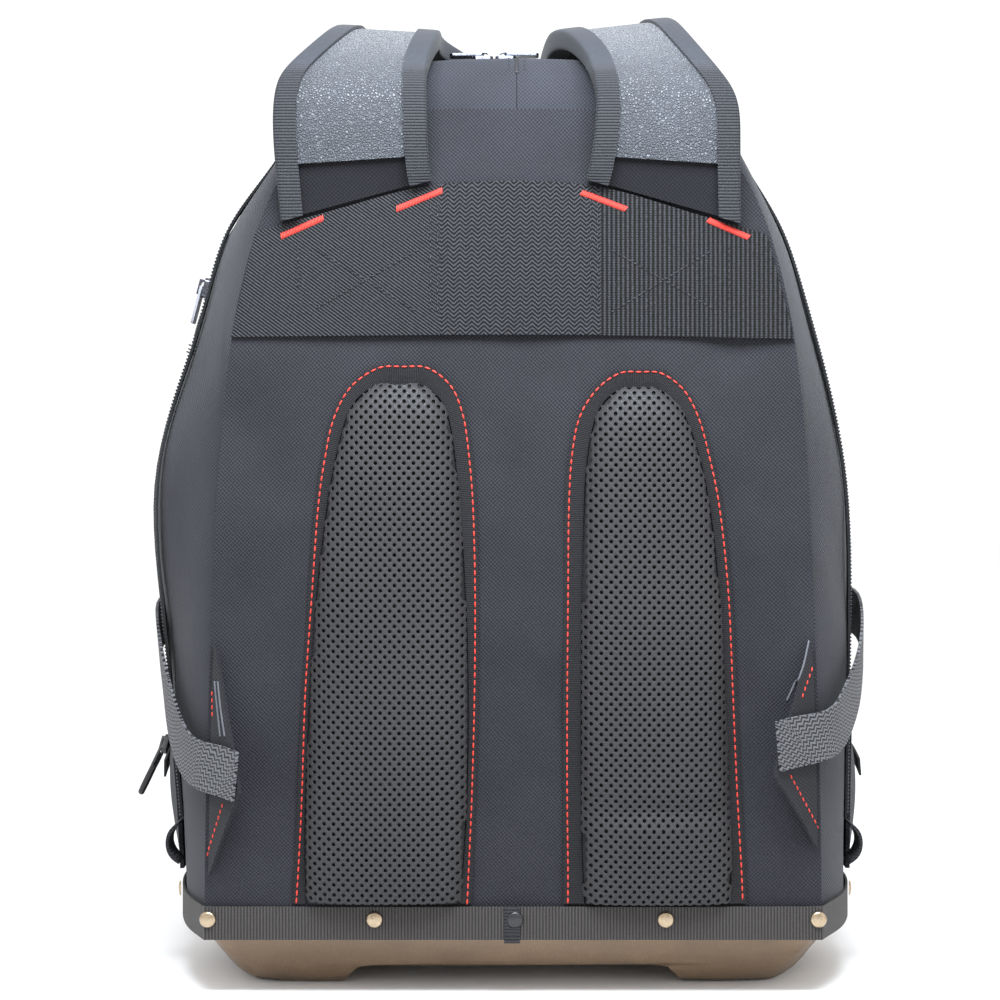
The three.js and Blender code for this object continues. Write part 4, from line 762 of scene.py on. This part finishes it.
def strip(name, line, material, width, thickness, way=None, body="bag", slot="panel_cloth"):
    """A rounded strip or tube along a line, its flat side turned to way(place)."""
    bm = bmesh.new()
    ring_before = None
    turns = [math.radians(22.5 + 45 * k) for k in range(8)]
    for index, point in enumerate(line):
        ahead = (line[min(index + 1, len(line) - 1)] - line[max(index - 1, 0)]).normalized()
        out = Vector((0, -1, 0)) if way is None else way(point)
        out = (out - ahead * out.dot(ahead)).normalized()
        side_way = ahead.cross(out)
        ring_now = [bm.verts.new(point + side_way * (0.54 * width * math.cos(a))
                                 + out * (0.54 * thickness * math.sin(a))) for a in turns]
        if ring_before:
            for k in range(8):
                bm.faces.new((ring_before[k], ring_before[k - 1], ring_now[k - 1], ring_now[k]))
        else:
            first = ring_now
        ring_before = ring_now
    bm.faces.new(first)
    bm.faces.new(list(reversed(ring_before)))
    bmesh.ops.recalc_face_normals(bm, faces=bm.faces)
    mesh = bpy.data.meshes.new(name)
    bm.to_mesh(mesh)
    bm.free()
    mesh.shade_smooth()
    return add_piece(name, mesh, material, body, slot)


PAD_CREASES = {
    "left": [],
    "right": [(seen(655, 806), (36 * MM, 0.1, 4 * MM), 2.6 * MM),
              (seen(655, 835), (30 * MM, 0.1, 12 * MM), -1.6 * MM),
              (seen(712, 801), (14 * MM, 0.1, 4 * MM), 2.4 * MM)],
}


def build_pad(side):
    cushion = smooth_copy(f"pad_{side}", f"pad_{side}_foam", foam, levels=2, crease=60)
    dented(cushion, backwards, PAD_CREASES[side], wave=1.2 * MM, scale=24.0, seed=3.0)
    below = surface_of(cushion)
    low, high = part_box(f"pad_{side}")
    bm = bmesh.new()
    reach = 0.5 * max(high.x - low.x, high.z - low.z) * 1.5
    count = int(2 * reach / (DIAMOND[1] / math.sqrt(0.5)) * 1.7)
    bmesh.ops.create_grid(bm, x_segments=count, y_segments=count, size=0.5 * count)
    turned = Matrix.Rotation(math.radians(45), 3, "Z")
    bmesh.ops.rotate(bm, verts=bm.verts, cent=(0, 0, 0), matrix=turned)
    bmesh.ops.scale(bm, verts=bm.verts, vec=(DIAMOND[0] * math.sqrt(0.5), DIAMOND[1] * math.sqrt(0.5), 1))
    bmesh.ops.rotate(bm, verts=bm.verts, cent=(0, 0, 0), matrix=Matrix.Rotation(math.radians(90), 3, "X"))
    bmesh.ops.translate(bm, verts=bm.verts, vec=(0.5 * (low.x + high.x), 0, 0.5 * (low.z + high.z)))
    outside = []
    for face in bm.faces:
        spot = face.calc_center_median()
        left, right = edges_at(side, spot.z)
        top_row = PAD_EDGES[side][-1][0] * MM
        if not (left - 7 * MM < spot.x < right + 7 * MM and low.z < spot.z < top_row + 7 * MM):
            outside.append(face)
    bmesh.ops.delete(bm, geom=outside, context="FACES")
    inner = bmesh.ops.inset_individual(bm, faces=bm.faces, thickness=0.72 * MM, use_even_offset=True)
    rims = set(inner["faces"])
    bmesh.ops.delete(bm, geom=[face for face in bm.faces if face not in rims], context="FACES_ONLY")
    outline = [Vector((MIDDLE + row[1] * MM, 0, row[0] * MM)) for row in PAD_EDGES[side]]
    outline += [Vector((MIDDLE + row[2] * MM, 0, row[0] * MM)) for row in reversed(PAD_EDGES[side])]
    for one, two in zip(outline, outline[1:]):
        ahead = (two - one).normalized()
        bmesh.ops.bisect_plane(bm, geom=[*bm.verts, *bm.edges, *bm.faces], plane_co=one,
                               plane_no=(-ahead.z, 0, ahead.x), clear_outer=True)
    lost = []
    for vertex in bm.verts:
        spot = onto(below, vertex.co.x, vertex.co.z, 0.7 * MM)
        if spot is None:
            lost.append(vertex)
        else:
            vertex.co = spot
    bmesh.ops.delete(bm, geom=lost, context="VERTS")
    bmesh.ops.recalc_face_normals(bm, faces=bm.faces)
    if sum(face.normal.y for face in bm.faces) > 0:
        bmesh.ops.reverse_faces(bm, faces=bm.faces)
    mesh = bpy.data.meshes.new(f"pad_{side}_mesh")
    bm.to_mesh(mesh)
    bm.free()
    net = add_piece(f"pad_{side}_mesh", mesh, mesh_knit, "bag", "pad_mesh")
    wall = net.modifiers.new("wall", "SOLIDIFY")
    wall.thickness = 0.8 * MM
    wall.offset = 1.0
    rounder = net.modifiers.new("round", "SUBSURF")
    rounder.levels = rounder.render_levels = 1
    settled(net)
    net.data.shade_smooth()
    # A dark strip along the pad's rim: it hides the mesh's cut edge and is painted shadow where the pad meets
    # its flange.
    rim = [onto(below, p.x, p.z, 0.5 * MM) for p in curve_through(outline, 1.5 * MM)]
    rim = [p for p in rim if p is not None]
    strip(f"pad_{side}_edge_shadow_strip", rim, black_thread, 2.2 * MM, 1.8 * MM, slot="pad_mesh")
    print(net.name, len(net.data.polygons) * 2, "triangles")


for side in ("left", "right"):
    build_pad(side)

# %% [markdown]
# ## Flanges and their red stitching
#
# A ribbed tape sews each pad to the panel. Its ribs point outwards round the bend, and a
# red running stitch holds it a couple of millimetres from its outer edge. One small
# capsule is one stitch.

# %% Flange edges
# Heights from the floor and the two outer edges across, in millimetres, as the tape is sewn.
SEWN_EDGES = {
    "left": [(46.5, -110.0, -20.9), (66.5, -108.7, -20.0), (101.6, -107.0, -18.5), (151.5, -105.3, -17.2),
             (201.5, -101.9, -16.9), (243.6, -98.9, -17.9), (270.1, -95.2, -20.0), (289.6, -90.6, -22.9),
             (305.2, -81.9, -29.3), (314.8, -67.8, -41.6)],
    "right": [(46.5, 25.3, 116.4), (66.5, 25.3, 115.5), (101.6, 24.9, 113.5), (151.5, 24.9, 111.3),
              (201.5, 25.3, 109.0), (243.6, 25.7, 104.6), (270.1, 27.3, 99.3), (289.6, 31.3, 93.8),
              (303.9, 40.3, 85.9), (312.2, 52.1, 74.5)],
}


def around(rows, inset):
    """The line up one edge, over the top and down the other, moved inwards."""
    up = [(MIDDLE + row[1] * MM, row[0] * MM) for row in rows]
    down = [(MIDDLE + row[2] * MM, row[0] * MM) for row in reversed(rows)]
    corners = up + down
    crown = ((up[-1][0] + down[0][0]) / 2, up[-1][1] + 0.9 * MM)
    corners.insert(len(up), crown)
    line = curve_through([(px, BACK - 0.05, pz) for px, pz in corners], 1.0 * MM)
    moved = []
    for index, point in enumerate(line):
        ahead = (line[min(index + 2, len(line) - 1)] - line[max(index - 2, 0)]).normalized()
        moved.append(point + Vector((ahead.z, 0, -ahead.x)) * inset)
    return moved


for side in ("left", "right"):
    flange = smooth_copy(f"pad_flange_{side}", f"pad_flange_{side}_tape", flange_tape)
    inner_line = around(SEWN_EDGES[side], 4 * MM)
    level = sum(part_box(f"pad_flange_{side}"), Vector()).y / 2
    map_along(flange, [Vector((p.x, level, p.z)) for p in inner_line[::8]], ACROSS)
print("flange line", len(inner_line), "points")


# %% [markdown]
# ## Running stitches
#
# Thread shows as a row of short rounded dashes. Each is a small ball stretched along the
# line and laid on the face behind it. Turned aside and set close, the same dashes make a
# bar tack, and set across a zip's tape they make its teeth.


# %% Stitches
def stitched(name, line, material, stitch, gap, radius, target=None, way=None, lift=0.1 * MM,
             cross=0.0, body="bag", slot="panel_cloth"):
    """Small capsules along a line, laid on what lies behind it; cross turns each one aside."""
    bm = bmesh.new()
    lengths = [0.0]
    for one, two in zip(line, line[1:]):
        lengths.append(lengths[-1] + (two - one).length)
    along = stitch / 2
    made = 0
    while along < lengths[-1]:
        index = int(np.searchsorted(lengths, along))
        index = min(max(index, 1), len(line) - 1)
        share = (along - lengths[index - 1]) / max(lengths[index] - lengths[index - 1], 1e-9)
        spot = line[index - 1].lerp(line[index], share)
        ahead = (line[min(index + 1, len(line) - 1)] - line[max(index - 2, 0)]).normalized()
        out = Vector((0, -1, 0)) if way is None else way(spot)
        hit = None
        if target is not None:
            place, normal, _, _ = target.ray_cast(spot + out * 0.04, -out)
            if place is not None:
                hit = place
                out = normal if normal.dot(out) > 0 else -normal
        if hit is not None or target is None:
            spot = (hit if hit is not None else spot) + out * lift
            ahead = (ahead - out * ahead.dot(out)).normalized()
            if cross:
                ahead = Matrix.Rotation(cross, 3, out) @ ahead
            side_way = out.cross(ahead).normalized()
            turn_matrix = Matrix((ahead, side_way, out)).transposed().to_4x4()
            size = Matrix.Diagonal((stitch / 2, radius, radius, 1))
            bmesh.ops.create_uvsphere(bm, u_segments=6, v_segments=4, radius=1,
                                      matrix=Matrix.Translation(spot) @ turn_matrix @ size)
            made += 1
        along += gap
    mesh = bpy.data.meshes.new(name)
    bm.to_mesh(mesh)
    bm.free()
    mesh.shade_smooth()
    print(name, made, "stitches")
    return add_piece(name, mesh, material, body, slot)


for side in ("left", "right"):
    base = surface_of(*[o for o in scene.objects if o.name == f"pad_flange_{side}_tape"])
    stitched(f"flange_stitches_{side}", around(SEWN_EDGES[side], 2.0 * MM), red_thread,
             3.3 * MM, 3.9 * MM, 0.48 * MM, base, slot="binding_tape")

# %% [markdown]
# ## Shoulder straps
#
# Each strap is a cloth-backed pad with a leather facing, bound along both edges with
# ribbed tape. The straps rise from the yoke, bend over the top and run down the front.

# %% Strap lines
# Depth from the back seam and height of the strap's outer face, in millimetres.
STRAP_LINE = [(-2, 387), (-14, 409), (-18.5, 429), (-18.5, 446), (-13, 460), (-2, 473), (13, 484), (32, 493),
              (54, 496), (75, 493), (96, 487), (120, 474), (149, 454), (167, 409), (177, 359), (185, 314),
              (189, 282)]
strap_pieces = {}
for word, sign in (("left", -1), ("right", 1)):
    low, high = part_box(f"strap_pad_{word}")
    line = [Vector((0.5 * (low.x + high.x), BACK + depth * MM, height * MM)) for depth, height in STRAP_LINE]
    core = smooth_copy(f"strap_pad_{word}", f"strap_pad_{word}_cloth", strap_cloth)
    facing_piece = smooth_copy(f"strap_leather_{word}", f"strap_leather_{word}_facing", leather, crease=50)
    strap_pieces[word] = [core, facing_piece]
    for edge in ("outer", "inner"):
        tape = smooth_copy(f"strap_binding_{word}_{edge}", f"strap_binding_{word}_{edge}_tape", binding_tape,
                           crease=60)
        map_along(tape, line, ACROSS)
        strap_pieces[word].append(tape)
print("strap pieces", sum(len(v) for v in strap_pieces.values()))

# %% [markdown]
# ## Wings, anchor webbing and locks
#
# A three-cornered flap in each side seam holds the webbing that comes round the bag from
# the ladder lock at the strap's lower end.

# %% Side straps
# The webbings' ways round the bag, in millimetres: outwards, behind the seam and up.
ANCHOR_LINE = {
    "left": [(136, 0, 109), (150, 5.6, 122), (166, 22.6, 127), (178, 37.6, 142.5), (186, 52.6, 164),
             (191, 79, 183), (193, 117, 192), (183, 160, 198), (160, 184, 202), (116, 190, 222),
             (102, 190, 227), (78, 190, 242), (85, 190, 254), (69, 190, 225)],
    "right": [(136, 0, 126), (150, 5.6, 138), (168, 22.6, 146), (178, 37.6, 156), (186, 52.6, 171),
              (191, 79, 187.5), (193, 117, 197), (183, 160, 201), (160, 184, 203), (116, 190, 222),
              (102, 190, 227), (78, 190, 242), (85, 190, 254), (69, 190, 225)],
}
for word, sign in (("left", -1), ("right", 1)):
    smooth_copy(f"wing_{word}", f"wing_{word}_cloth", wing_cloth, levels=2)
    anchor = smooth_copy(f"strap_anchor_{word}", f"strap_anchor_{word}_webbing", anchor_webbing, crease=70)
    map_along(anchor, [at(sign * px, pz, deep) for px, deep, pz in ANCHOR_LINE[word]], UP)
    tongue = smooth_copy(f"strap_tongue_{word}", f"strap_tongue_{word}_webbing", anchor_webbing, crease=70)
    low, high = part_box(f"strap_tongue_{word}")
    map_along(tongue, [Vector((0.5 * (low.x + high.x), 0.5 * (low.y + high.y), level)) for level in
                       (low.z, high.z)], ACROSS)
    smooth_copy(f"strap_buckle_{word}", f"strap_buckle_{word}_plastic", black_plastic, levels=1,
                round_edge=0.5 * MM)
    loop = smooth_copy(f"side_loop_{word}", f"side_loop_{word}_webbing", loop_tape, crease=50)
    low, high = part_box(f"side_loop_{word}")
    map_along(loop, [Vector((0.5 * (low.x + high.x), 0.5 * (low.y + high.y), level)) for level in
                     (low.z, high.z)], Vector((0, 1, 0)))
print("side straps done")

# %% [markdown]
# ## Zips
#
# The tapes are flat webbing. The coil is a row of small bars across the tape, one every
# two millimetres, and the sliders and pulls ride on it.

# %% Tapes, sliders and rivets
for node in ("zipper_main", "zipper_front", "zipper_pocket"):
    tape = smooth_copy(node, f"{node}_tape", zip_tape)
    low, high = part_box(node)
    middle_x = 0.5 * (low.x + high.x)
    shoulder = 0.6 * high.z
    corners = [(low.x, low.z), (low.x, shoulder), (middle_x, high.z), (high.x, shoulder), (high.x, low.z)]
    arch = [Vector((px, (low.y + high.y) / 2, pz)) for px, pz in corners]
    map_along(tape, arch, Vector((0, 1, 0)))
for node in [n for n in nodes if n.startswith("slider_")]:
    finish = black_plastic if node == "slider_pocket" else dark_metal
    smooth_copy(node, f"{node}_body", finish, levels=1, round_edge=0.3 * MM)
for node in [n for n in nodes if n.startswith("pull_")]:
    finish = {"pull_front": grey_plastic, "pull_pocket": black_plastic}.get(node, dark_metal)
    smooth_copy(node, f"{node}_tab", finish, levels=1, round_edge=0.25 * MM)
for node in [n for n in nodes if n.startswith("rivet_")]:
    finish = black_plastic if node == "rivet_03" else rivet_metal
    smooth_copy(node, f"{node}_cap", finish, levels=2, crease=75)
print("hardware done")

# %% [markdown]
# ## Teeth of the zips
#
# A coil zip is a spiral of nylon sewn down the middle of its tapes, so from outside it shows
# as a row of small bars across the tape. The tape's own points, sorted by the angle at which
# they stand round the bag's middle, give the line down its middle.


# %% Zip teeth
def middle_line(node, parts):
    """The line down the middle of a tape, from its points sorted by angle."""
    points = [v.co.copy() for v in nodes[node].data.vertices]
    low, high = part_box(node)
    centre = Vector((0.5 * (low.x + high.x), 0, 0.45 * high.z))
    heaps = {}
    for point in points:
        gap = point - centre
        turn = math.atan2(-gap.x, gap.z)
        heaps.setdefault(round(turn * parts / math.pi), []).append(point)
    return [sum(heaps[key], Vector()) / len(heaps[key]) for key in sorted(heaps) if len(heaps[key]) > 3]


def upright_out(place):
    return Vector((place.x - MIDDLE, 0, place.z - 0.3 * cad_box[1][2])).normalized()


rail = middle_line("zipper_main", 18)
cover = surface_of(scene.objects["zipper_main_tape"])
stitched("zipper_main_teeth", curve_through(rail, 2 * MM), coil_plastic, 5.0 * MM, 1.9 * MM, 0.62 * MM, cover,
         upright_out, 0.2 * MM, math.radians(90), slot=slot_of["zipper_main"])
print("rail", len(rail), "points")

# %% [markdown]
# ## Seams, tacks and folded edges
#
# These small marks hold the bag together: bar tacks of red thread across the yoke, boxes of
# black stitching, dashes along the leather's end, and turned edges of cloth on the wings,
# painted light grey as a painted highlight along the folds.


# %% Marks of sewing
def sight_line(points, depth=0.0):
    return curve_through([seen(px, py, depth * MM) - Vector((0, 0.06, 0)) for px, py in points], 1.0 * MM)


def laid(target, line, lift=0.2 * MM):
    found = [onto(target, p.x, p.z, lift) for p in line]
    return [p for p in found if p is not None]


yoke_face = surface_of(yoke)
BAR_TACKS = [((279, 239), (325, 219)), ((394, 212), (443, 192)),
             ((578, 193), (626, 211)), ((704, 220), (748, 239))]
for number, ends in enumerate(BAR_TACKS, 1):
    stitched(f"bar_tack_{number}", sight_line(ends), red_thread, 3.8 * MM, 0.8 * MM, 0.42 * MM, yoke_face,
             cross=math.radians(72), slot=slot_of["yoke_band"])
YOKE_SEAMS = [[(317, 251), (419, 314)], [(419, 251), (317, 310)],
              [(431, 201), (431, 312)], [(438, 203), (438, 312)],
              [(299, 246), (299, 304)], [(590, 201), (590, 312)], [(597, 203), (597, 312)],
              [(610, 314), (712, 251)], [(712, 310), (610, 251)], [(728, 246), (728, 304)]]
for number, ends in enumerate(YOKE_SEAMS, 1):
    stitched(f"yoke_seam_{number}", sight_line(ends), black_thread, 2.6 * MM, 3.1 * MM, 0.42 * MM, yoke_face,
             slot=slot_of["yoke_band"])
for word in ("left", "right"):
    low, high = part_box(f"strap_leather_{word}")
    face = surface_of(scene.objects[f"strap_leather_{word}_facing"])
    ends = [Vector((px, BACK - 0.06, low.z + 3.2 * MM)) for px in (low.x + 2 * MM, high.x - 2 * MM)]
    stitched(f"leather_end_{word}", curve_through(ends, 1 * MM), black_thread, 1.5 * MM, 2.1 * MM, 0.38 * MM,
             face, slot=slot_of[f"strap_leather_{word}"])

wing_face = surface_of(*[scene.objects[name] for name in (
    "wing_left_cloth", "wing_right_cloth", "strap_anchor_left_webbing", "strap_anchor_right_webbing",
    "back_panel_cloth", "gusset_left_cloth", "gusset_right_cloth")])
# The turned edges are thin strips in a light grey, much lighter than the wing cloth: a painted highlight
# where the folds catch the light.
FOLDS = [[(216.7, 680), (220, 706), (223.8, 734)], [(220.6, 680), (224, 706), (229, 733)],
         [(808, 640), (800, 668), (786, 700)]]
for number, points in enumerate(FOLDS, 1):
    edge_line = laid(wing_face, sight_line(points))
    strip(f"wing_fold_highlight_{number}", edge_line, fold_highlight_cloth, 1.0 * MM, 0.5 * MM,
          slot=slot_of["wing_left"])
WING_SEAMS = [[(213.5, 690), (214, 716)], [(227, 799), (206.5, 859)], [(811, 666), (798, 697)],
              [(785, 770), (819, 830)]]
for number, points in enumerate(WING_SEAMS, 1):
    stitched(f"wing_seam_{number}", sight_line(points), red_thread, 2.6 * MM, 3.4 * MM, 0.42 * MM, wing_face)

TIP = [(512, 905), (512, 925), (512, 940)]
band_face = surface_of(band)
tip_line = laid(band_face, sight_line(TIP[:2]), 0.3 * MM)
tip_line.append(tip_line[-1] + Vector((0, 0, -8 * MM)))
webbing_tip = strip("band_tip", tip_line, loop_tape, 8.0 * MM, 0.9 * MM, slot=slot_of["base_band"])
map_along(webbing_tip, tip_line, ACROSS)

# The seam where the two gussets meet over the top of the bag.
crown = surface_of(scene.objects["gusset_left_cloth"], scene.objects["gusset_right_cloth"])
seam_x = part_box("gusset_left")[1].x
if abs(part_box("gusset_right")[0].x - seam_x) > 2 * MM:
    seam_x = 0.5 * (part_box("gusset_right")[0].x + seam_x)
hub = Vector((seam_x, BACK + 22 * MM, cad_box[1][2] - 36 * MM))


def off_hub(place):
    return (place - Vector((place.x, hub.y, hub.z))).normalized()


def over_crown(shift, lift):
    found = []
    for degree in range(95, 186, 5):
        way = Vector((0, math.cos(math.radians(degree)), math.sin(math.radians(degree))))
        start = hub + Vector((shift, 0, 0)) + way * 0.08
        place, normal, _, _ = crown.ray_cast(start, -way)
        if place is not None:
            found.append(place + way * lift)
    return found


seam_line = over_crown(1.2 * MM, 0.1 * MM)
if len(seam_line) > 3:
    seam_line = [Vector((seam_x, p.y, p.z)) for p in seam_line]
    strip("crown_seam", seam_line, black_thread, 1.8 * MM, 0.8 * MM, off_hub, slot=slot_of["gusset_left"])
    for word, shift in (("left", -4.0 * MM), ("right", 4.0 * MM)):
        side_line = over_crown(shift, 0.0)
        stitched(f"crown_stitches_{word}", side_line, black_thread, 2.4 * MM, 3.4 * MM, 0.35 * MM, crown,
                 off_hub, slot=slot_of["gusset_left"])
print("marks of sewing done", len(seam_line), "places over the crown")

# %% [markdown]
# ## Floor
#
# A wide pale floor carries the bag's soft shadow.

# %% Floor
bm = bmesh.new()
bmesh.ops.create_grid(bm, x_segments=1, y_segments=1, size=12)
floor_mesh = bpy.data.meshes.new("floor")
bm.to_mesh(floor_mesh)
bm.free()
floor = bpy.data.objects.new("floor", floor_mesh)
scene.collection.objects.link(floor)
floor_paint, board, shader = blank("floor_paint", 0.8)
coords = board.put("ShaderNodeTexCoord")
patches = board.speckle(coords.outputs["Object"], 3.0)
tinted(board, shader, (0.9, 0.9, 0.9), board.ramp(patches, 0.3, 0.7, 0.99, 1.0))
floor_mesh.materials.append(floor_paint)

# %% Size of the dressed bag
print("cad", [[round(c, 4) for c in v] for v in cad_box])
